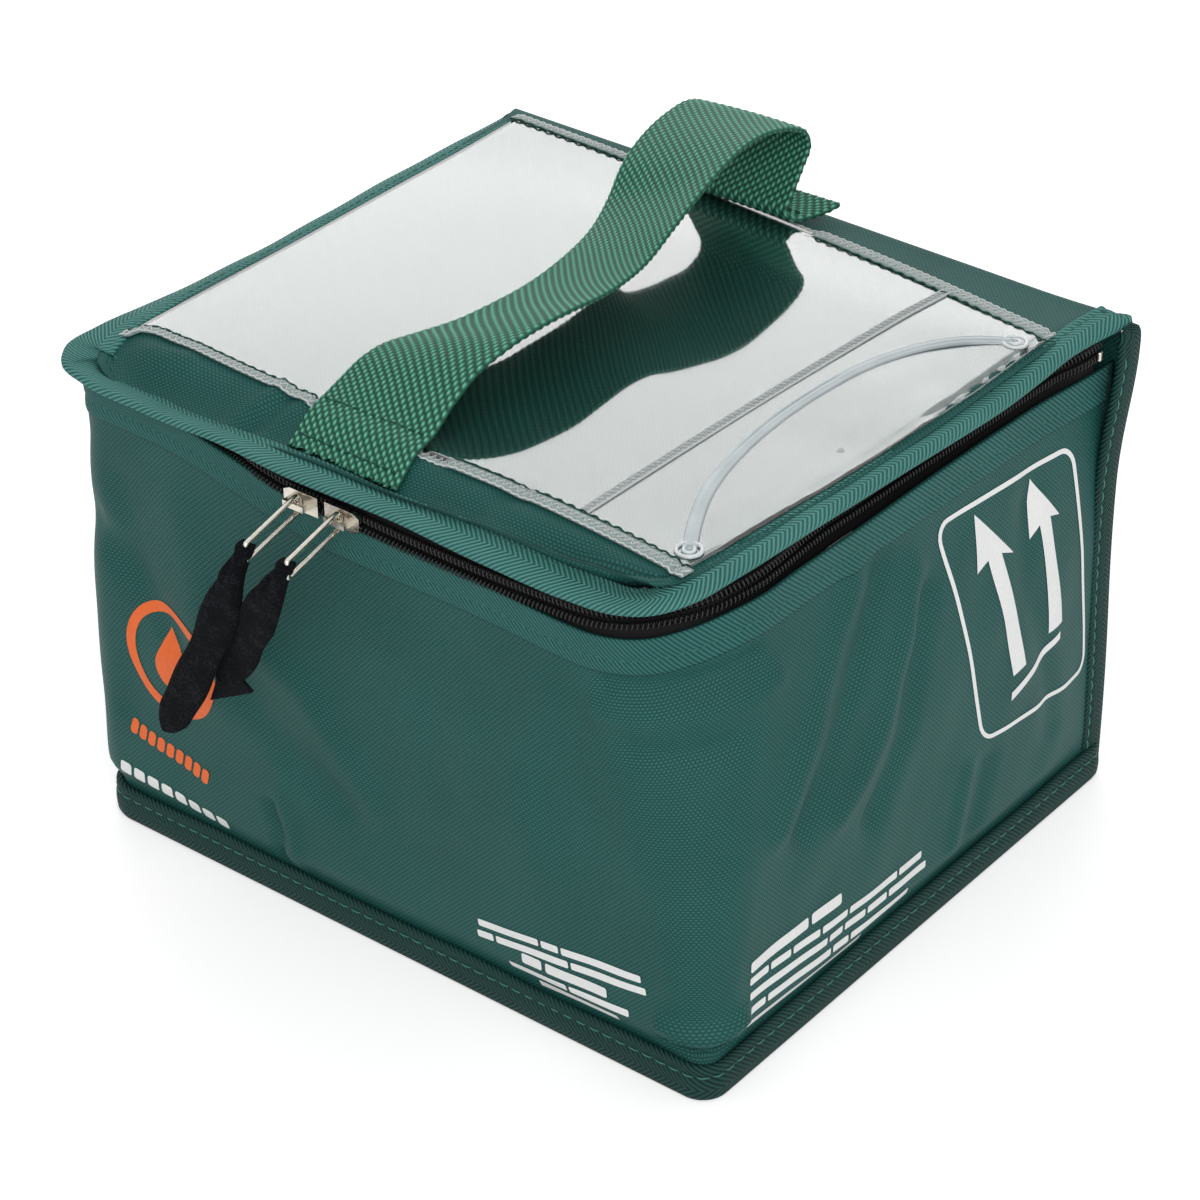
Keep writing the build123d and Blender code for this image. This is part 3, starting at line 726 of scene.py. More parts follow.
def lid_height(x, y):
    """Height of the lid's cloth at x, y."""
    x, y = np.broadcast_arrays(np.asarray(x, float), np.asarray(y, float))
    gap = np.hypot(x[..., None] - hem_inner[:, 0], y[..., None] - hem_inner[:, 1])
    weight = 1 / (gap + 0.4) ** 4
    edge = (weight * hem_inner[:, 2]).sum(-1) / weight.sum(-1)
    reach = (weight * HEM_REACH).sum(-1) / weight.sum(-1)
    rise = smooth(0, reach, gap.min(-1))
    height = edge + (window_height(x, y) - edge) * rise
    for depth, width, line in STRIP_FOLDS:
        height = height + depth * near_line(x, y, line, width)
    return height


def on_lid(xy, above=0.0):
    """The points of the lid's cloth under rows of x, y, raised by so many millimetres."""
    xy = np.asarray(xy, float)
    return np.concatenate([xy, (lid_height(xy[..., 0], xy[..., 1]) + above)[..., None]], axis=-1)


# %% [markdown]
# ## Lid cloth, fold and back panel
# On the real box one cloth runs up the back, over the fold and across the lid, and the fold is the hinge.
# It is made as one grid, and it is given to neither body.

# %% Lid and back cloth
def lid_back_cloth():
    columns = 110
    share = np.linspace(0, 1, columns)
    tuck = 0.35
    edge = hem_inner + tuck * (hem_outer - hem_inner)
    side = {k: even(edge[sel], 2.0) for k, sel in (
        ("left", hem_marks <= 193), ("front", (hem_marks > 191) & (hem_marks < 411)),
        ("right", hem_marks >= 409))}
    rows = []
    depth_marks = np.linspace(0, 1, 84)
    left = through(np.column_stack([np.linspace(1, 0, len(side["left"])), side["left"]])[::-1], depth_marks)
    right = through(np.column_stack([np.linspace(0, 1, len(side["right"])), side["right"]]), depth_marks)
    front = through(np.column_stack([np.linspace(0, 1, len(side["front"])), side["front"]]), share)
    back = left[-1] + (right[-1] - left[-1]) * share[:, None]
    for k, v in enumerate(depth_marks):
        ruled = left[k] + (right[k] - left[k]) * share[:, None]
        bowed = front + (back - front) * v
        corners = (left[0] + (right[0] - left[0]) * share[:, None]) * (1 - v) + back * v
        rows.append(ruled + bowed - corners)
    top = np.stack(rows)
    top = top[top[:, columns // 2, 1] < LID_BACK]
    top[..., 1] = np.minimum(top[..., 1], LID_BACK)
    covered = lid_height(top[..., 0], top[..., 1])
    outside = smooth(0.0, 3.0, np.abs(share - 0.5) * 2 * 105 - 101)
    top[..., 2] = covered - 0.9 * outside
    crest = through(FOLD_TOP, top[-1, :, 0])
    top[..., 2] += ((crest - 0.4) - top[-1, :, 2]) * smooth(86, LID_BACK, top[..., 1])
    fold, sides = [], top[-1, :, 0]
    for angle in np.linspace(0.15, 1, 9) * np.pi / 2:
        wide = np.sin(angle) ** 2
        x = sides + (np.linspace(-109.4, 109.4, columns) - sides) * wide * 0.7
        fold.append(np.stack([x, LID_BACK + FOLD_RADIUS * np.sin(angle) + 0 * x,
                              crest - FOLD_RADIUS * (1 - np.cos(angle))], axis=-1))
    low = []
    for z in np.linspace(148.4, 4, 74):
        x = fold[-1][:, 0] + (np.linspace(-109.6, 109.6, columns) - fold[-1][:, 0]) * smooth(150, 136, z)
        swell = 2.2 * smooth(8, 30, z) * (1 - smooth(96, 146, z)) * (1 - (x / 112) ** 4)
        ripple = 0.5 * gentle_noise(x, z, 60, 11) * smooth(8, 24, z) * (1 - smooth(120, 146, z))
        low.append(np.stack([x, BACK_FACE + swell + ripple, z + 0 * x], axis=-1))
    points = np.concatenate([top, np.stack(fold), np.stack(low)])
    run = lengths(points[:, columns // 2])
    uv = np.stack(np.broadcast_arrays(points[..., 0], run[:, None]), axis=-1)
    return skin("shell_cloth", points, uv)


shell_cloth = lid_back_cloth()
thicken(shell_cloth, 0.6)
dress(shell_cloth, "coated_nylon", None, ["back_panel", "lid_panel"])
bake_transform(shell_cloth)
print("lid and back cloth:", len(shell_cloth.data.vertices), "points")

# %% [markdown]
# ## Hem, facing and seam tapes
# A tape folded over an edge has a rounded outer roll, a flat face and a slight groove where it is sewn
# down. Each outline below is drawn once, outward and up, and carried along its edge.


# %% Lid hem
def hem_tape():
    outward = hem_outer - hem_inner
    width = np.linalg.norm(outward, axis=1)
    ups = np.cross(unit(outward), unit(np.gradient(hem_outer, axis=0)))
    half = 1.25
    angles = np.linspace(0.5, -0.5, 7) * np.pi
    outline = []
    for w in width:
        face = [(-w - 0.3, -0.4), (-w, half - 0.55), (-w + 0.9, half - 0.15), (-w + 1.9, half - 0.38),
                (-w + 3.2, half), (-w * 0.45, half + 0.22), (-1.6, half + 0.1)]
        roll = [(-half + math.cos(t) * half, math.sin(t) * half) for t in angles]
        under = [(-w * 0.5, -half - 0.1), (-w + 0.6, -half)]
        outline.append(face + roll + under)
    wobble = 0.25 * gentle_noise(hem_marks, 0 * hem_marks, 46, 21)
    path = hem_outer + wobble[:, None] * ups
    points, uv = sweep(path, ups, np.array(outline))
    return skin("lid_hem", points, uv, round_outline=True), path, ups, outward


lid_hem, hem_path, hem_ups, hem_outward = hem_tape()
dress(lid_hem, "herringbone_tape", "lid", ["lid_binding"])

# %% Wall facing
FACING_LOW, FACING_TOP, CHAIN_HEIGHT = 122.4, 133.6, 126.9


def facing_tape():
    heights = np.array([124.0, 122.6, 122.4, 123.4, 125.4, 126.9, 128.2, 130.4, 132.6, 133.6, 133.5, 132.4])
    outset = np.array([0.1, 0.2, 0.45, 0.65, 0.6, 0.3, 0.65, 0.85, 0.85, 0.75, 0.5, 0.1])
    return wall_sheet("wall_facing_tape", heights, -outset, 1.6, (5.0, WALL_RUN - 5.0))


wall_facing = facing_tape()
dress(wall_facing, "herringbone_tape", "box", ["wall_facing"], SHADED_FACING_TAPE)

# %% Base seam tape and back corner tapes

def base_outline():
    """The base seam's closed path, from the back left corner round the front."""
    a = np.linspace(0, WALL_RUN, 400)
    x, y, _, _ = plan_point(a, 0 * a, 0.0)
    back = np.linspace(HALF_WIDTH, -HALF_WIDTH, 130)[1:-1]
    path = np.concatenate([np.stack([x, y], 1), np.stack([back, 0 * back + HALF_DEPTH], 1)])
    corner = np.hypot(np.abs(path[:, 0]) - 104, path[:, 1] - 90)
    rounded = (np.abs(path[:, 0]) > 104) & (path[:, 1] > 90)
    pull = np.where(rounded & (corner > 6), 6 / np.maximum(corner, 1e-6), 1.0)
    path[:, 0] = np.where(rounded, np.sign(path[:, 0]) * (104 + (np.abs(path[:, 0]) - 104) * pull), path[:, 0])
    path[:, 1] = np.where(rounded, 90 + (path[:, 1] - 90) * pull, path[:, 1])
    return np.column_stack([path, np.zeros(len(path))])


def base_seam_tape():
    path = base_outline()
    run = lengths(path)
    outline = np.array([(0.2, 10.6), (1.0, 11.4), (2.0, 11.3), (2.5, 10.4), (2.2, 8.0), (2.8, 6.4), (2.95, 4.0),
                        (2.7, 1.4), (2.2, 0.4), (1.2, 0.05), (-1.5, 0.05), (-4.0, 0.25)])
    outline = np.repeat(outline[None], len(path), 0)
    outline[..., 0] += (0.35 * gentle_noise(run, 0 * run, 52, 31))[:, None] * (outline[..., 1] > 3)
    outline[..., 1] += (0.5 * gentle_noise(run, 0 * run, 70, 32))[:, None] * (outline[..., 1] > 9)
    points, uv = sweep(path, (0, 0, 1.0), outline, closed=True)
    return skin("base_seam_tape", points, uv, round_path=True)


base_tape = base_seam_tape()
dress(base_tape, "base_tape", "box", ["base_binding"])


def corner_path(side, low, high):
    """The line of a back corner's seam; near its top the tape flares out to meet the lid hem."""
    z = np.linspace(low, high, 90)
    flare = smooth(96, 148, z) ** 1.4
    spread = 3.0 if side > 0 else 0.6
    x = side * (109.6 - 0.4 * smooth(60, 10, z) + 0.3 * np.sin(z / 17) + spread * flare)
    return np.column_stack([x, 91.2 + 0.4 * np.sin(z / 23 + 1) + 1.6 * flare, z])


def corner_tape(side):
    """The bound seam up a back corner: a folded edge, a row of stitches, then the tape's ribs."""
    path = corner_path(side, 2.0, 152.6)
    outline = np.array([(5.0, 0.0), (4.7, 1.2), (3.6, 1.8), (1.2, 1.9), (-1.4, 1.7), (-2.7, 1.05), (-3.6, 1.5),
                        (-4.5, 1.3), (-5.0, 0.5), (-4.8, -0.6), (-1.6, -1.6), (2.8, -1.8), (4.5, -1.2)])
    outline = np.repeat(outline[None], len(path), 0)
    outline *= (0.1 + 0.9 * np.sqrt(np.clip(1 - (np.clip(path[:, 2] - 147.7, 0, 9) / 4.95) ** 2, 0, 1)))[:, None, None]
    points, uv = sweep(path, (side, 0, 0.0), outline * [side, 1])
    name = "corner_tape_left" if side < 0 else "corner_tape_right"
    return skin(name, points, uv, round_outline=True)


for side, node in ((-1, "corner_binding_left"), (1, "corner_binding_right")):
    dress(corner_tape(side), "base_tape", "box", [node], SHADED_CORNER_TAPE)
print("hem, facing, base and corner tapes made")

# %% [markdown]
# ## Stitches
# Stitches are the detail that tells cloth from plastic. Each one is a small bent capsule, and a whole row
# is one mesh. A row follows a path and sinks at both ends of every stitch.


# %% Stitch rows
def stitches(name, path, ups, long, gap, radius, material, slot, body, sway=0.0, height=0.35):
    """A row of stitches, long millimetres each with a gap between; sway slants them by turns."""
    run = lengths(path)
    starts = np.arange(0.5 * gap, run[-1] - long, long + gap)
    share = np.linspace(0, 1, 5)
    spots = starts[:, None] + share * long
    at = np.stack([np.interp(spots, run, path[:, k]) for k in range(3)], -1)
    ups = np.broadcast_to(np.asarray(ups, float), path.shape)
    up = unit(np.stack([np.interp(spots, run, ups[:, k]) for k in range(3)], -1))
    ahead = unit(at[:, -1:] - at[:, :1])
    side = np.cross(ahead, up)
    turn = np.where(np.arange(len(starts)) % 2 == 0, 1.0, -1.0)[:, None, None]
    at = at + up * (height * np.sin(share * np.pi) ** 0.6 - 0.1)[:, None] + side * turn * (share - 0.5)[:, None] * sway
    girth = radius * np.array([0.45, 0.95, 1.0, 0.95, 0.45])
    angles = np.arange(6) / 6 * 2 * np.pi
    ring = (side[:, :, None] * np.cos(angles)[:, None] + up[:, :, None] * np.sin(angles)[:, None])
    points = at[:, :, None] + ring * girth[:, None, None]
    count = len(starts)
    ids = np.arange(count * 5 * 6).reshape(count, 5, 6)
    nxt = np.roll(ids, -1, 2)
    walls = np.stack([ids[:, :-1], nxt[:, :-1], nxt[:, 1:], ids[:, 1:]], -1).reshape(-1, 4).tolist()
    ends = ids[:, 0, ::-1].tolist() + ids[:, -1].tolist()
    mesh = bpy.data.meshes.new(name)
    mesh.from_pydata((points.reshape(-1, 3) * MM).tolist(), [], walls + ends)
    mesh.shade_smooth()
    row = bpy.data.objects.new(name, mesh)
    scene.collection.objects.link(row)
    dress(row, slot, body, material=material)
    return count


hem_seam = hem_inner + unit(hem_outward) * 1.9 + hem_ups * 0.95
made = stitches("hem_stitches", even(hem_seam, 1.0)[6:-6], (0, 0, 1.0), 2.3, 0.9, 0.24, TAPE_THREAD,
                "herringbone_tape", "lid", 0.3)
facing_marks = np.linspace(6, WALL_RUN - 6, 700)
facing_seam = wall_point(facing_marks, 0 * facing_marks + CHAIN_HEIGHT, -0.4)
facing_ups = unit(np.cross(np.gradient(facing_seam, axis=0), (0, 0, -1.0))) * [-1, -1, 0]
made += stitches("facing_stitches", facing_seam, -facing_ups, 2.4, 0.7, 0.24, TAPE_THREAD,
                 "herringbone_tape", "box", 0.9)
base_seam, _ = sweep(base_outline(), (0, 0, 1.0), [(2.25, 8.0)], closed=True)
base_seam = base_seam[:, 0]
base_ups = unit(np.cross(np.gradient(base_seam, axis=0), (0, 0, 1.0)))
made += stitches("base_stitches", base_seam, base_ups, 3.6, 0.9, 0.2, GREEN_THREAD, "base_tape", "box")
for side in (-1, 1):
    seam = corner_path(side, 6.0, 146.0) + [side * 1.15, -2.7, 0.0]
    made += stitches(f"corner_stitches_{'left' if side < 0 else 'right'}", seam, (side, 0, 0.0), 3.6, 0.7, 0.26,
                     GREEN_THREAD, "base_tape", "box")
print(made, "stitches on the tapes")

# %% [markdown]
# ## Zip
# The zip is black: two tapes and two nylon coils. A coil is a real helix carried along the rim, because
# its even highlights are what the eye reads as a zip. It stays level behind the raised rim.


# %% Zip coils and tapes
COIL_LOW, COIL_HIGH, COIL_PITCH = 137.2, 140.8, 1.35
ZIP_ENDS = (8.5, WALL_RUN - 8.5)


def zip_depth(a):
    return -0.4 + 3.2 * smooth(5, 11, rim_lift(a)) + 1.6 * smooth(446, 476, a) * smooth(590, 576, a)


def zip_line(height, step=1.0, push=0.0):
    a = np.arange(ZIP_ENDS[0], ZIP_ENDS[1], step)
    return wall_point(a, 0 * a + height, zip_depth(a) + push, creased=False, lift=zip_lift)


def coil(name, height, body, node):
    line = even(zip_line(height), 0.15)
    run = lengths(line)
    angle = run / COIL_PITCH * 2 * np.pi * (1 if height < 139 else -1)
    ahead = unit(np.gradient(line, axis=0))
    outward = unit(np.cross(ahead, (0, 0, 1.0)))
    wire = line + outward * (0.85 * np.cos(angle))[:, None] + np.array([0, 0, 1.0]) * (1.0 * np.sin(angle))[:, None]
    points, uv = sweep(wire, unit(wire - line), np.array([(0.3, 0), (0, 0.3), (-0.3, 0), (0, -0.3)]))
    return dress(skin(name, points, uv, round_outline=True), "zip_coil", body, [node])


coil("lower_coil", COIL_LOW, "box", "zip_coil_lower")
coil("upper_coil", COIL_HIGH, "lid", "zip_coil_upper")


def zip_stop(name, a):
    """A metal stop folded over the lower row of coil at one end of the zip."""
    low, high = (wall_point(np.array([a]), z, zip_depth(np.array([a])) - 0.2, False, zip_lift)[0]
                 for z in (COIL_LOW - 1.3, COIL_LOW + 1.3))
    points, uv = tube(low + (high - low) * np.linspace(0, 1, 9)[:, None], 0.9, 12)
    return skin(name, points, uv, round_outline=True)


dress(zip_stop("zip_stop_left", ZIP_ENDS[0] + 1.0), "slider_metal", "box", ["zip_stops"])
dress(zip_stop("zip_stop_right", ZIP_ENDS[1] - 1.0), "slider_metal", "box")


def zip_tape(name, heights, pushes, body, node):
    lines = [zip_line(z, 2.0, push) for z, push in zip(heights, pushes)]
    points = np.stack(lines, 1)
    marks = np.arange(ZIP_ENDS[0], ZIP_ENDS[1], 2.0)
    ceiling = np.interp(marks, hem_marks, np.minimum(hem_outer[:, 2], hem_inner[:, 2]))[:, None] - 1.7
    points[..., 2] = np.minimum(points[..., 2], ceiling - 0.1 * np.arange(len(heights))[::-1])
    run = lengths(points[:, 0])
    across = lengths(points[len(points) // 2])
    uv = np.stack(np.broadcast_arrays(run[:, None], across[None]), -1)
    tape = skin(name, points, uv)
    thicken(tape, 0.5)
    return dress(tape, "zip_tape", body, [node])


zip_tape("lower_zip_tape", (125.0, 131.0, 135.6, 137.4, 138.6), (0.9, 0.9, 1.1, 1.1, 1.1), "box",
         "zip_tape_lower")
zip_tape("upper_zip_tape", (139.4, 141.0, 142.6, 144.6, 146.4), (1.1, 1.1, 1.2, 2.0, 4.5), "lid",
         "zip_tape_upper")
print("zip made")

# %% [markdown]
# ## Clear window
# The window is a loose sheet of clear vinyl, sewn along the front and back. It ripples a little, most of
# all right of the slit, where nothing holds it. Those ripples bend what it mirrors.

# %% Window
WINDOW_FRONT = ((-106, -81.5), (-102, -77.6), (-98, -75.6), (-88, -75.2), (-60, -76.8), (0, -80.4), (52, -81.2),
                (94, -85.4), (99, -86.2))
WINDOW_BACK = ((-106, 88.2), (-60, 86.4), (0, 82.0), (50, 77.6), (103, 70.0))
SLIT_LINE = ((90.1, -77.0), (83.5, -65.9), (77.5, -53.2), (73.6, -39.5), (71.2, -25.4), (70.1, -11.0), (70.3, 6.2),
             (71.8, 22.0), (74.9, 34.6), (79.2, 45.0), (85.2, 53.4), (92.8, 59.6), (95.9, 61.3))
SLIT_FRONT, SLIT_BACK = SLIT_LINE[0], SLIT_LINE[-1]


def slit_line():
    run = lengths(np.array(SLIT_LINE))
    return through(np.column_stack([run, SLIT_LINE]), np.linspace(0, run[-1], 90))


def window_ripple(x, y):
    soft = 0.22 * gentle_noise(x, y, 120, 41)
    loose = smooth(70, 86, x) * smooth(-88, -66, y) * smooth(84, 60, y)
    return soft + 0.26 * loose * np.sin(y / 9.5 + x / 14) + 0.14 * loose * gentle_noise(x, y, 22, 43)


def window_xy(u, v):
    """x, y of the window at shares u, left to right, and v, front to back."""
    left = through([(r[1], r[0] + 1.6) for r in ((-103.6, -82), (-103.2, -14), (-103.4, 90))],
                   -82 + 172 * v)
    right = through([(r[1], r[0]) for r in ((94.6, -90), (99.0, -40), (101.6, 8), (102.0, 78))], -90 + 168 * v)
    x = left + (right - left) * u
    front, back = through(WINDOW_FRONT, x), through(WINDOW_BACK, x)
    return np.stack([x, front + (back - front) * v], -1)


def window_sheet():
    u, v = np.meshgrid(np.linspace(0, 1, 130), np.linspace(0, 1, 100), indexing="ij")
    xy = window_xy(u, v)
    points = on_lid(xy, 0.9)
    points[..., 2] += window_ripple(xy[..., 0], xy[..., 1])
    sheet = skin("window_vinyl", points, xy)
    thicken(sheet, 0.4, 1.0)
    return dress(sheet, "clear_vinyl", "lid", ["window_sheet"])


window_vinyl = window_sheet()


def thread_line(name, line, radius, material):
    """One thread laid along a line of points."""
    points, uv = tube(line, radius, 6)
    return dress(skin(name, points, uv, round_outline=True), "clear_vinyl", "lid", material=material)


def zigzag(line, pitch, half_width, above=0.0):
    """Points that swing from side to side of a line, pitch millimetres a turn."""
    line = even(line, pitch / 2)
    ahead = unit(np.gradient(line, axis=0))
    swing = np.where(np.arange(len(line)) % 2 == 0, half_width, -half_width)[:, None]
    return line + np.cross(ahead, (0, 0, 1.0)) * swing + [0, 0, above]


def edging(name, stations, node, inward):
    """A doubled strip of vinyl along the window, with a zigzag thread, and a lock thread at its inner edge."""
    x = np.linspace(-104.4 if inward > 0 else -103.4, 96.5 if inward > 0 else 101.8, 150)
    under_handle = smooth(-37, -33, x) * smooth(18, 12, x)
    line = on_lid(np.column_stack([x, through(stations, x)]), 1.3)
    line[:, 2] -= 1.1 * under_handle
    outline = np.array([(2.4, -0.2), (2.1, 0.35), (1.0, 0.6), (0.0, 0.42), (-1.0, 0.6), (-2.1, 0.4), (-2.4, -0.2)])
    wide = 0.62 + 0.32 * smooth(-104, 90, x)
    outline = outline * np.stack([wide, np.ones(len(x))], 1)[:, None]
    points, uv = sweep(line, (0, 0, 1.0), outline)
    strip = dress(skin(name, points, uv, round_outline=True), "clear_vinyl", "lid", [node], EDGE_VINYL)
    thread_line(name + "_zigzag", zigzag(line, 2.3, 1.0, 0.55), 0.27, PALE_THREAD)
    beside = np.stack([0 * wide, wide, 0 * wide], 1)
    rim = even(line - beside * inward * 2.2 + [0, 0, 0.4], 0.5)
    rim[:, 1] += 0.25 * np.sin(lengths(rim) / 2.6 * 2 * np.pi)
    thread_line(name + "_rim", rim, 0.26, PALE_THREAD)
    lock = even(line + beside * inward * 2.75 + [0, 0, 0.35], 0.5)
    lock[:, 1] += 0.28 * np.sin(lengths(lock) / 4.1 * 2 * np.pi)
    lock[:, 2] += 0.12 * np.cos(lengths(lock) / 4.1 * 2 * np.pi)
    thread_line(name + "_lock", lock, 0.3, DARK_THREAD)
    return strip


edging("edging_front", WINDOW_FRONT, "window_edging_front", 1)
edging("edging_back", WINDOW_BACK, "window_edging_back", -1)

# %% Divider seam, slit and rings
DIVIDER_FRONT, DIVIDER_BACK = (58.0, -79.0), (64.6, 75.0)


def divider():
    """A seam through the window: a strip with a thread along each side and rungs across it."""
    t = np.linspace(0, 1, 120)[:, None]
    xy = np.array(DIVIDER_FRONT) * (1 - t) + np.array(DIVIDER_BACK) * t
    line = on_lid(xy, 1.45)
    outline = np.array([(1.7, -0.2), (1.4, 0.18), (0.5, 0.1), (0, 0.0), (-0.5, 0.1), (-1.4, 0.18), (-1.7, -0.2)])
    points, uv = sweep(line, (0, 0, 1.0), outline)
    seam = dress(skin("divider_seam", points, uv, round_outline=True), "clear_vinyl", "lid", ["window_divider"],
                 SEAM_VINYL)
    for k, side in enumerate((-1.35, 1.35)):
        thread_line(f"divider_row_{k}", line + [side, 0, 0.22], 0.2, PALE_THREAD)
    thread_line("divider_rungs", zigzag(line, 2.0, 1.3, 0.2), 0.24, PALE_THREAD)
    return seam


SEAM_VINYL = grained("seam_vinyl", 0.35, (0.24, 0.28, 0.28), (0.52, 0.57, 0.57), 500.0, 0.3)
divider()


def slit_lip():
    """A raised welt along the slit, with two fine ribs along it."""
    line = on_lid(slit_line(), 1.25)
    outline = np.array([(2.1, -0.3), (1.9, 0.3), (1.6, 0.62), (1.35, 0.5), (0.7, 0.85), (0.0, 0.95), (-0.7, 0.85),
                        (-1.35, 0.5), (-1.6, 0.62), (-1.9, 0.3), (-2.1, -0.3)])
    points, uv = sweep(line, (0, 0, 1.0), outline)
    return dress(skin("slit_weld", points, uv, round_outline=True), "clear_vinyl", "lid", ["slit_lip"], LIP_VINYL)


def ring(name, centre, radius, girth):
    t = np.linspace(0, 2 * np.pi, 37)[:-1]
    circle = on_lid(np.column_stack([centre[0] + radius * np.cos(t), centre[1] + radius * np.sin(t)]), 1.4)
    points, uv = tube(circle, girth, 8, closed=True)
    return skin(name, points, uv, round_outline=True, round_path=True)


LIP_VINYL = grained("welded_vinyl", 0.14, (0.26, 0.31, 0.33), (0.44, 0.50, 0.52), 90.0, 0.1,
                    Coat_Weight=0.35, Coat_Roughness=0.05)
RING_VINYL = grained("ring_vinyl", 0.1, (0.50, 0.55, 0.56), (0.74, 0.79, 0.80), 160.0, 0.1,
                     Coat_Weight=0.6, Coat_Roughness=0.04)
slit_lip()
for spot, centre in (("front", SLIT_FRONT), ("back", SLIT_BACK)):
    wide = dress(ring(f"slit_ring_{spot}", centre, 3.3, 0.6), "clear_vinyl", "lid", material=RING_VINYL)
    dress(ring(f"slit_bead_{spot}", centre, 1.4, 0.6), "clear_vinyl", "lid", material=RING_VINYL)
    if spot == "front":
        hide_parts("slit_rings")
print("window, edging, divider and slit made")

# %% [markdown]
# ## Webbing handle
# The webbing is sewn down at both ends and stands in a twisted arch. Its two edges were measured apart, so
# the band is ruled between two lines: the right edge stands high, and the left one comes down near the lid.

# %% Handle
# Stations: left edge x, y, z, then right edge x, y, z.
HANDLE = np.array((
    (-32, -91.5, 149.6, 6, -91.5, 148.9), (-32, -88, 152, 6, -88, 151.8),
    (-32, -83, 156.0, 6, -83, 156.0), (-32, -77, 158.0, 6, -76, 158.2),
    (-31.5, -70.6, 160.5, 6.5, -68.6, 164), (-30.5, -63.8, 163.5, 7.2, -58.4, 169.7),
    (-29.1, -56.6, 164.8, 8.9, -48, 173.1), (-26.1, -46.5, 164.6, 10.4, -36.2, 174.8),
    (-21.5, -36.3, 165.3, 11.6, -25, 175.2), (-18.2, -23.6, 166.5, 11.9, -13.4, 174.2),
    (-17.6, -9, 166.6, 11.4, -2.4, 174), (-18.7, 7.1, 167.3, 10.9, 8.6, 175.5),
    (-21.9, 23.6, 168.2, 10.1, 21, 180.2), (-26.6, 37.8, 171, 8.9, 34.4, 184.5),
    (-29, 47.6, 177.5, 7.8, 47.8, 188.1), (-31, 59.8, 181.5, 6.8, 61, 189.6),
    (-32, 72, 183.3, 6, 73, 188), (-32, 82, 183.3, 6, 83, 184.8),
    (-32, 88.5, 180, 6, 89, 181), (-32, 90, 175, 6, 90.5, 176.5),
    (-32, 87, 169, 6, 87, 171), (-32, 82.5, 163, 6, 82.5, 164.5),
    (-32, 79.4, 159.3, 6.5, 79.2, 159.6), (-31, 80.6, 157.6, 7.5, 80.6, 157.6),
    (-28, 85, 157.4, 10.5, 85.4, 157.4), (-25, 89.6, 158.1, 13.5, 89.9, 158.4),
    (-23, 93.3, 159.0, 15, 93.5, 159.4)), float)


def thread_height(u, v):
    """The height of the webbing's threads, by the same rule as its material: 1 on a thread, 0 in a gap."""
    row = v / WEB_WIDE
    along = u / WEB_LONG + 0.5 * (np.floor(row) % 2) + WEB_LEAN * (row % 1)
    return np.abs(np.sin(np.pi * along)) ** 1.8 * np.abs(np.sin(np.pi * row)) ** 0.9


def handle_band():
    steps = np.linalg.norm(np.diff(HANDLE.reshape(-1, 2, 3).mean(1), axis=0), axis=1)
    marks = np.concatenate([[0], np.cumsum(steps)])
    rows = np.linspace(0, marks[-1], int(marks[-1] / 0.56))
    edges = through(np.column_stack([marks, HANDLE]), rows)
    left, right = edges[:, :3], edges[:, 3:]
    centre = (left + right) / 2
    run = lengths(centre)
    across = unit(right - left)
    up = unit(np.cross(right - left, unit(np.gradient(centre, axis=0))))
    share = np.linspace(0, 1, 85)
    v, u = share[None] * 38.0, run[:, None]
    bow = 0.5 * np.sin(share * np.pi)[None] * np.sin(rows / 24.0)[:, None]
    flat = left[:, None] + (right - left)[:, None] * share[None, :, None] + up[:, None] * bow[..., None]
    half = 0.62 * np.minimum(1, np.sqrt(np.clip(np.minimum(share, 1 - share) * 38 / 0.7, 0, 1)))
    relief = 0.42 * thread_height(u, v)
    top = flat + up[:, None] * (half + relief)[..., None]
    low = flat - up[:, None] * (half + 0.42 * thread_height(u + WEB_LONG / 2, v))[..., None]
    for sheet in (top, low):
        wave = 0.32 * np.sin(u[:, 0] / WEB_LONG * 2 * np.pi)[:, None]
        sheet[:, 0] -= across * wave
        sheet[:, -1] += across * wave
    fray = np.random.default_rng(7).uniform(-1.2, 1.0, len(share))
    for sheet in (top, low):
        sheet[0, :, 1] -= fray
    points = np.concatenate([top, low[:, ::-1]], 1)
    uv = np.stack(np.broadcast_arrays(u, np.concatenate([v, v[:, ::-1]], 1)), -1)
    band = skin("handle_band", points, uv, round_outline=True)
    return dress(band, "webbing", "lid", ["handle_webbing"]), left, right, up, run


handle, handle_left, handle_right, handle_up, handle_run = handle_band()


def handle_seam(name, at_y, part):
    """A row of stitches across the webbing at one place of its feet."""
    rows = np.arange(len(handle_left))
    chosen = rows[part][np.argmin(np.abs(handle_left[part, 1] - at_y))]
    share = np.linspace(0.03, 0.97, 60)[:, None]
    line = handle_left[chosen] * (1 - share) + handle_right[chosen] * share
    up = handle_up[chosen] * np.sign(handle_up[chosen][2])
    return stitches(name, line + up * 0.95, up, 2.4, 0.8, 0.3, DARK_THREAD, "webbing", "lid", 0.3)


rows_in_all = len(handle_left)
front_part, back_part = slice(0, rows_in_all // 5), slice(rows_in_all * 10 // 11, rows_in_all)
handle_seam("handle_seam_front", -78.0, front_part)
handle_seam("handle_seam_front_low", -88.5, front_part)
handle_seam("handle_seam_back", 84.0, back_part)
print("handle length", round(float(handle_run[-1])), "mm")

# %% [markdown]
# ## Felt pull straps
# Each strap is a folded strip of felt looped through a wire pull. It is crumpled at the neck and hangs to
# the left. The right one is shorter, lies behind the left one, and shows a corner of its hook tape.


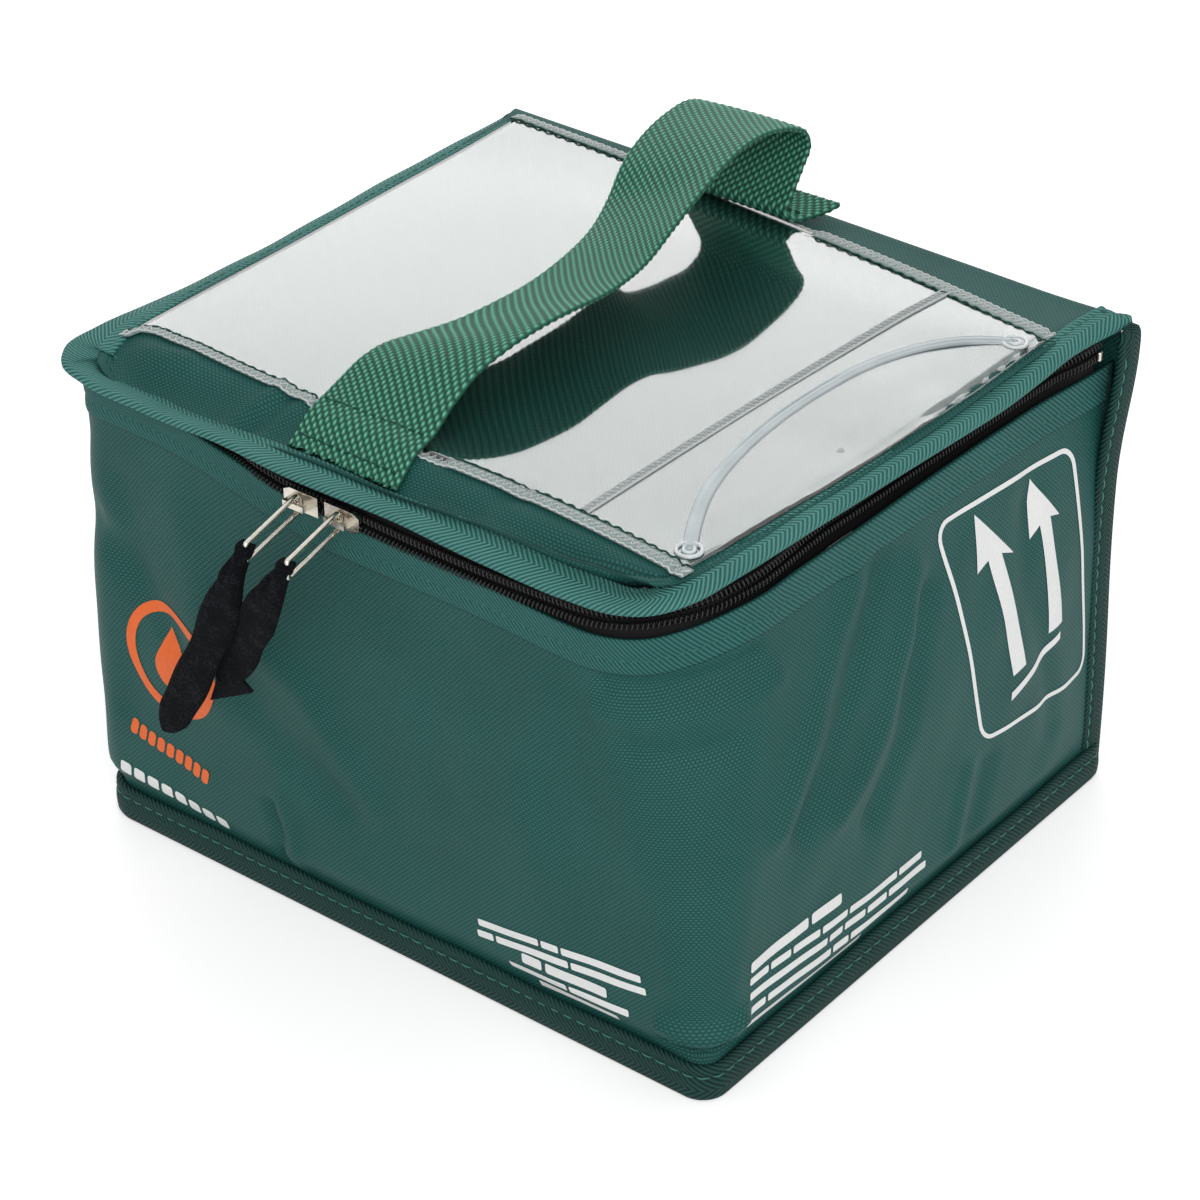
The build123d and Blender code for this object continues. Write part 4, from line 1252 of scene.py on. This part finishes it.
# %% Straps
def strap(name, start, lean, long, wide, depth_end, seed, body, node):
    t = np.linspace(0, 1, 46)
    drop = t * long
    lean_now = math.radians(lean) * (0.72 + 0.42 * t)
    x = start[0] - np.concatenate([[0], np.cumsum(np.sin(lean_now[1:]) * np.diff(drop))])
    z = start[2] - np.concatenate([[0], np.cumsum(np.cos(lean_now[1:]) * np.diff(drop))])
    y = start[1] - 1.6 * smooth(0, 0.15, t) + (depth_end - start[1] + 1.6) * smooth(0.2, 1, t)
    path = np.column_stack([x, y, z])
    width = wide / 2 * (0.34 + 0.66 * smooth(0.03, 0.30, t)) * (1 + 0.07 * np.sin(t * 19 + seed))
    end = np.clip((1 - t) / 0.10, 0, 1)
    width = width * (0.16 + 0.84 * end**0.6)
    thick = 1.25 * (1 + 0.75 * (1 - smooth(0.05, 0.32, t)))
    angles = np.arange(18) / 18 * 2 * np.pi
    square = lambda c: np.sign(c) * np.abs(c) ** 0.55
    outline = np.stack([width[:, None] * square(np.cos(angles)), thick[:, None] * square(np.sin(angles))], -1)
    crumple = 1 - smooth(0.04, 0.42, t)
    outline[..., 1] += crumple[:, None] * 0.9 * np.sin(outline[..., 0] * 1.5 + t[:, None] * 22 + seed)
    outline[..., 1] += 0.35 * gentle_noise(outline[..., 0], drop[:, None], 17, seed)
    points, uv = sweep(path, (0, -1.0, 0), outline)
    return dress(skin(name, points, uv, round_outline=True), "felt_strap", body, [node])


strap("felt_strap_left", (-22, -120.6, 136.2), 27.5, 78.8, 11.4, -122.6, 51, "strap_left", "pull_strap_left")
strap("felt_strap_right", (-7.5, -120.6, 136.2), 34, 60, 11.2, -117.0, 57, "strap_right", "pull_strap_right")


def hook_tab():
    """The corner of hook tape that shows beside the right strap."""
    corners = np.array([(-36.0, -117.6, 94.0), (-27.0, -117.0, 86.2), (-42.5, -117.4, 77.8)])
    t = np.linspace(0, 1, 14)
    top, low = corners[0] + (corners[1] - corners[0]) * t[:, None], corners[2] + (corners[1] - corners[2]) * t[:, None]
    points = top[:, None] + (low - top)[:, None] * np.linspace(0, 1, 10)[None, :, None]
    uv = points[..., [0, 2]]
    tab = skin("hook_tape_tab", points, uv)
    thicken(tab, 1.3, 0.0)
    return dress(tab, "felt_strap", "strap_right", material=HOOK_TAPE)


HOOK_TAPE = felt("hook_tape", (0.006, 0.007, 0.009), (0.06, 0.062, 0.07))
hook_tab()
print("straps made")

# %% [markdown]
# ## Inside: foam, liner and board
# These pieces show when the lid is open. They follow the same wall and lid forms, a few millimetres in, so
# nothing pokes through the cloth.


# %% Foam and liners
def layer(name, outer, inner, low, high, slot, replaced):
    """A closed layer of the wall between two depths, round the left, front and right sides."""
    a = np.linspace(7.5, WALL_RUN - 7.5, 260)[:, None]
    depths = np.array([outer, outer, outer, outer, outer, inner, inner, inner, inner, inner])
    heights = np.array([low, low + 25, 60, 100, high, high, 100, 60, low + 25, low])
    points = wall_point(a, heights[None], depths[None], creased=False, lift=lambda m: np.minimum(rim_lift(m), 5.0))
    uv = np.stack(np.broadcast_arrays(a, np.arange(10)[None] * 20.0), -1)
    piece = skin(name, points, uv, round_outline=True)
    dress(piece, slot, "box", replaced)
    return piece


wall_foam = layer("wall_foam", 4.3, 8.2, 8.0, 132.0, "insulating_foam", ["foam_front", "foam_left", "foam_right"])


def slab(name, outline, low, high, slot, body, replaced):
    """A flat piece with rounded edges from rows of x, y; low and high may be functions of x, y."""
    outline = np.asarray(outline, float)
    centre = outline.mean(0)
    shares = (0.0, 0.5, 0.9, 0.985, 1.0, 1.0, 0.985, 0.9, 0.5, 0.0)
    levels = (1, 1, 1, 1, 0.8, 0.2, 0, 0, 0, 0)
    rings = []
    for share, level in zip(shares, levels):
        xy = centre + (outline - centre) * max(share, 0.001)
        top = high(xy[:, 0], xy[:, 1]) if callable(high) else np.full(len(xy), float(high))
        bottom = low(xy[:, 0], xy[:, 1]) if callable(low) else np.full(len(xy), float(low))
        rings.append(np.column_stack([xy, bottom + (top - bottom) * level]))
    points = np.stack(rings)
    uv = points[..., :2]
    piece = skin(name, points.transpose(1, 0, 2), uv.transpose(1, 0, 2), round_path=True)
    return dress(piece, slot, body, replaced)


def rim_outline(inset, height=134.0, back=88.0, count=220):
    """x, y of the opening at the rim, with its straight back."""
    a = np.linspace(10, WALL_RUN - 10, count)
    line = wall_point(a, 0 * a + height, inset, creased=False)[:, :2]
    line = line[line[:, 1] < back]
    ends = np.linspace(line[-1], line[0], 60)[1:-1]
    ends[:, 1] = back
    return np.concatenate([line, [[line[-1, 0], back]], ends, [[line[0, 0], back]]])


back_foam = slab("back_foam", [(x, y) for x, y in zip(
    np.concatenate([np.linspace(-102, 102, 40), np.full(6, 102.0), np.linspace(102, -102, 40), np.full(6, -102.0)]),
    np.concatenate([np.full(40, 88.2), np.linspace(88.2, 94.4, 6), np.full(40, 94.4), np.linspace(94.4, 88.2, 6)]))],
    8.0, 140.0, "insulating_foam", "box", ["foam_back"])


def liner_tub():
    """The wipe-clean liner: walls just inside the foam and a floor."""
    outline = rim_outline(8.3, 134.0, 87.6)
    centre = np.array([0.0, 0.0])
    rings = []
    for share, z in ((1.0, 140.5), (1.0, 134.0), (1.0, 90.0), (1.0, 40.0), (0.998, 14.0), (0.99, 11.0),
                     (0.9, 10.4), (0.4, 10.4), (0.002, 10.4)):
        rings.append(np.column_stack([centre + (outline - centre) * share, np.full(len(outline), z)]))
    points = np.stack(rings).transpose(1, 0, 2)
    run = lengths(outline)
    uv = np.stack(np.broadcast_arrays(run[:, None], np.arange(9)[None] * 18.0), -1)
    tub = skin("liner", points, uv, round_path=True)
    thicken(tub, 0.5)
    return dress(tub, "liner_vinyl", "box", ["liner_tub"])


liner_tub()
rim_cover_a = np.linspace(8, WALL_RUN - 8, 240)


def rim_cover():
    """A turned strip of liner over the foam's top edge, from the zip tape to the tub."""
    a = rim_cover_a
    flat = lambda m: np.minimum(rim_lift(m), 5.0)
    behind = np.clip(zip_depth(a), 0, 2.6)
    rows = [wall_point(a, 0 * a + z, d + behind * (d < 5), creased=False, lift=flat) for z, d in
            ((130.0, 1.9), (133.0, 2.0), (134.4, 3.2), (134.8, 6.0), (133.6, 8.2), (128.0, 8.9))]
    points = np.stack(rows, 1)
    uv = np.stack(np.broadcast_arrays(a[:, None], np.arange(6)[None] * 3.0), -1)
    cover = skin("rim_cover", points, uv)
    thicken(cover, 0.5, 1.0)
    return dress(cover, "liner_vinyl", "box")


rim_cover()
LID_UNDER = 144.9
lid_outline = even(hem_inner[:, :2] * [0.965, 0.955], 3.0)
lid_outline = np.concatenate([lid_outline, np.linspace(lid_outline[-1], lid_outline[0], 60)[1:-1]])
lid_foam = slab("lid_foam", lid_outline, LID_UNDER + 0.1,
                lambda x, y: np.maximum(lid_height(x, y) - 1.2, LID_UNDER + 0.5), "insulating_foam", "lid",
                ["foam_lid"])
slab("lid_lining", lid_outline * [1.02, 1.02], LID_UNDER - 0.7, LID_UNDER, "liner_vinyl", "lid", ["lid_liner"])
print("foam and liners made")

# %% [markdown]
# ## Base cloth
# The base is the same nylon. It only shows from below, but it still gets its weave.

# %% Base cloth
base_grid_x, base_grid_y = np.meshgrid(np.linspace(-109, 109, 40), np.linspace(-95, 95, 34), indexing="ij")
base_points = np.stack([base_grid_x, base_grid_y, 0.35 + 0.12 * gentle_noise(base_grid_x, base_grid_y, 40, 61)], -1)
base_cloth = skin("base_cloth", base_points, base_points[..., :2])
thicken(base_cloth, 0.6, 1.0)
dress(base_cloth, "coated_nylon", "box", ["base_panel"])
print("base cloth made")

# %% [markdown]
# ## Printed marks
# The marks are thin films of ink on the cloth. Each is drawn flat, cut into small cells so that it can
# bend, and laid on the wall's form a hair above the cloth. The two arrows and the frame are the common
# sign for this way up. The ring and drop stand for a liquid sample, and the bars are blank label lines.


# %% Ink shapes
def flat_shape(name, loops):
    """A filled flat mesh from closed loops of x, y; a loop inside another is a hole."""
    curve = bpy.data.curves.new(name, "CURVE")
    curve.dimensions, curve.fill_mode = "2D", "BOTH"
    for loop in loops:
        spline = curve.splines.new("POLY")
        spline.points.add(len(loop) - 1)
        spline.use_cyclic_u = True
        for point, (x, y) in zip(spline.points, loop):
            point.co = (x, y, 0, 1)
    holder = bpy.data.objects.new(name, curve)
    scene.collection.objects.link(holder)
    bpy.context.view_layer.update()
    mesh = bpy.data.meshes.new_from_object(holder.evaluated_get(bpy.context.evaluated_depsgraph_get()))
    bpy.data.objects.remove(holder)
    mesh.name = name
    return mesh


def ink(name, loops, to_wall, material, cell=2.0):
    """Ink from flat loops, cut into cells and laid on the wall by to_wall(x, y)."""
    mesh = flat_shape(name, loops)
    shape = bmesh.new()
    shape.from_mesh(mesh)
    xs, ys = [v.co.x for v in shape.verts], [v.co.y for v in shape.verts]
    for axis, values in ((0, xs), (1, ys)):
        for cut in np.arange(min(values) + cell / 2, max(values), cell):
            point, normal = [0.0, 0.0, 0.0], [0.0, 0.0, 0.0]
            point[axis], normal[axis] = cut, 1.0
            bmesh.ops.bisect_plane(shape, geom=shape.verts[:] + shape.edges[:] + shape.faces[:], dist=1e-5,
                                   plane_co=point, plane_no=normal)
    flat = np.array([v.co[:2] for v in shape.verts])
    placed = to_wall(flat[:, 0], flat[:, 1])
    for vertex, place in zip(shape.verts, placed):
        vertex.co = place * MM
    bmesh.ops.recalc_face_normals(shape, faces=shape.faces)
    shape.to_mesh(mesh)
    shape.free()
    mesh.shade_smooth()
    print_mark = bpy.data.objects.new(name, mesh)
    scene.collection.objects.link(print_mark)
    return dress(print_mark, "coated_nylon", "box", material=material)


INK_ABOVE = 0.14


def at_height(a, z_out):
    """The wall's own height mark that lands at a real height."""
    z = np.array(z_out, float)
    for _ in range(6):
        z = z - (z + rim_lift(a) * smooth(36, 120, z) - z_out)
    return z


def front_wall(x, z):
    a = CORNER_LEFT + (np.asarray(x, float) + HALF_WIDTH)
    return wall_point(a, at_height(a, z), -INK_ABOVE)


SIGN_CORNERS = np.array(((26.6, 48.7), (84.8, 41.9), (75.3, 121.4), (8.4, 126.6)))


def right_wall(y, z):
    a = CORNER_RIGHT + (np.asarray(y, float) + HALF_DEPTH)
    return wall_point(a, at_height(a, z), -INK_ABOVE)


def sign_wall(u, v):
    """The sign's own square, 100 by 100, stretched between its four corners on the right wall."""
    u, v = np.asarray(u) / 100, np.asarray(v) / 100
    low_left, low_right, top_right, top_left = SIGN_CORNERS
    spot = ((1 - u) * (1 - v))[:, None] * low_left + (u * (1 - v))[:, None] * low_right \
        + (u * v)[:, None] * top_right + ((1 - u) * v)[:, None] * top_left
    return right_wall(spot[:, 0], spot[:, 1])


def rounded(x0, y0, x1, y1, radius, steps=6):
    """A rectangle's outline with round corners."""
    points = []
    for cx, cy, start in ((x1 - radius, y1 - radius, 0), (x0 + radius, y1 - radius, 1),
                          (x0 + radius, y0 + radius, 2), (x1 - radius, y0 + radius, 3)):
        for k in range(steps + 1):
            angle = (start + k / steps) * math.pi / 2
            points.append((cx + radius * math.cos(angle), cy + radius * math.sin(angle)))
    return points


# %% This-way-up sign
def arrow(tip, left, right, foot_left, foot_right, neck=0.32):
    """An arrow from its tip, its barbs and its foot; the shaft meets the head between the barbs."""
    tip, left, right, foot_left, foot_right = (np.array(p, float) for p in (tip, left, right, foot_left, foot_right))
    inner_left, inner_right = left + (right - left) * neck, right + (left - right) * neck
    return [tip, left, inner_left + (0, 2), foot_left, foot_right, inner_right + (0, 2), right]


def sign_square(points):
    """Wall points y, z turned into the sign's own square by a few steps of correction."""
    low_left, low_right, top_right, top_left = SIGN_CORNERS
    found = []
    for target in np.asarray(points, float):
        u, v = 0.5, 0.5
        for _ in range(12):
            here = (1 - u) * (1 - v) * low_left + u * (1 - v) * low_right + u * v * top_right + (1 - u) * v * top_left
            du = (1 - v) * (low_right - low_left) + v * (top_right - top_left)
            dv = (1 - u) * (top_left - low_left) + u * (top_right - low_right)
            step = np.linalg.solve(np.column_stack([du, dv]), target - here)
            u, v = u + step[0], v + step[1]
        found.append((u * 100, v * 100))
    return found


ink("sign_frame", [rounded(0, 0, 100, 100, 9), rounded(2.5, 2.0, 97.5, 98.0, 6.8)], sign_wall, WHITE_PRINT, 2.5)
ink("sign_arrow_front", [sign_square(arrow((26.9, 121.3), (25.2, 104.3), (43.1, 102.4), (40, 64.7), (46, 65.6)))],
    sign_wall, WHITE_PRINT, 2.5)
ink("sign_arrow_back", [sign_square(arrow((54.6, 119.3), (52.6, 101.5), (66.7, 103.1), (59.6, 68.2), (66.3, 68.8)))],
    sign_wall, WHITE_PRINT, 2.5)
ink("sign_ground", [sign_square([(39.5, 56.6), (65.6, 63.4), (65.6, 66.0), (39.5, 59.4)])], sign_wall, WHITE_PRINT, 2.5)

# %% Sample mark and blank label lines
MARK_CENTRE = (-76.7, 66.2)


def sample_mark():
    cx, cy = MARK_CENTRE
    turn = np.linspace(0, 2 * np.pi, 73)[:-1]
    outer = [(cx + 18 * math.cos(t), cy + 18 * math.sin(t)) for t in turn]
    inner = [(cx + 14.8 * math.cos(t), cy + 14.8 * math.sin(t)) for t in turn]
    ink("sample_ring", [outer, inner], front_wall, ORANGE_PRINT)
    drop = [(cx, cy + 11)] + [(cx + 6.6 * math.cos(t), cy - 3 + 6.6 * math.sin(t))
                              for t in np.linspace(math.radians(28), math.radians(-208), 40)]
    ink("sample_drop", [drop], front_wall, ORANGE_PRINT)


sample_mark()


def label_lines(name, to_wall, rows, material):
    """Blank label lines: rows of start, end, thickness, gap and the shares of the blocks along the line."""
    for k, (start, end, thick, gap, shares) in enumerate(rows):
        start, way = np.array(start, float), np.array(end, float) - start
        long = math.hypot(*way)
        ahead, side = way / long, np.array([-way[1], way[0]]) / long
        scale = (long - gap * (len(shares) - 1)) / sum(shares)
        loops, at = [], 0.0
        for share in shares:
            block = np.array(rounded(at, -thick / 2, at + share * scale, thick / 2, thick * 0.22, 3))
            loops.append([tuple(start + ahead * u + side * v) for u, v in block])
            at += share * scale + gap
        ink(f"{name}_{k}", loops, to_wall, material)


label_lines("mark_line", front_wall, (((-95.4, 37.5), (-65.9, 30.5), 5.2, 0.8, (1,) * 9),), ORANGE_PRINT)
label_lines("code_line", front_wall, (((-101.1, 20.9), (-60.8, 15.6), 4.4, 1.1, (1,) * 8),), WHITE_PRINT)
label_lines("front_line", front_wall, (
    ((34.7, 26.8), (91.0, 34.3), 2.3, 1.0, (7, 2, 9)), ((34.2, 22.8), (92.6, 30.8), 2.3, 1.0, (2, 9, 9)),
    ((49.7, 21.6), (79.4, 24.0), 3.2, 1.4, (2, 6)), ((44.6, 16.6), (86.8, 20.8), 2.3, 1.0, (8, 8)),
    ((53.9, 13.6), (82.3, 16.4), 2.3, 1.0, (11,))), WHITE_PRINT)
label_lines("side_line", right_wall, (
    ((-80.7, 36.6), (-41.0, 36.2), 3.6, 1.5, (6, 3)), ((-81.0, 32.1), (-1.7, 27.3), 2.4, 1.1, (3, 3, 4, 4, 8, 4)),
    ((-81.0, 27.2), (0.5, 22.8), 2.4, 1.1, (11, 2, 3, 3, 6)), ((-81.0, 22.4), (-8.0, 18.4), 2.4, 1.1, (3, 12, 3, 12)),
    ((-81.0, 17.6), (-27.5, 13.8), 2.4, 1.1, (17,))), WHITE_PRINT)
print("printed marks laid on the cloth")

# %% [markdown]
# ## Kept solids
# The sliders, wire pulls, base foam and board are hard or hidden, and their solids are right as they are.
# They only take their finish here. The small end stops get theirs too.

# %% Finishes for the kept solids
node_slots = {row["node"]: row["material_slot"] for row in frame["record"]["subparts"]}
for name, node in frame["nodes"].items():
    if not node.hide_render:
        node.data.materials.clear()
        node.data.materials.append(finishes[node_slots[name]])
        print("kept:", name)
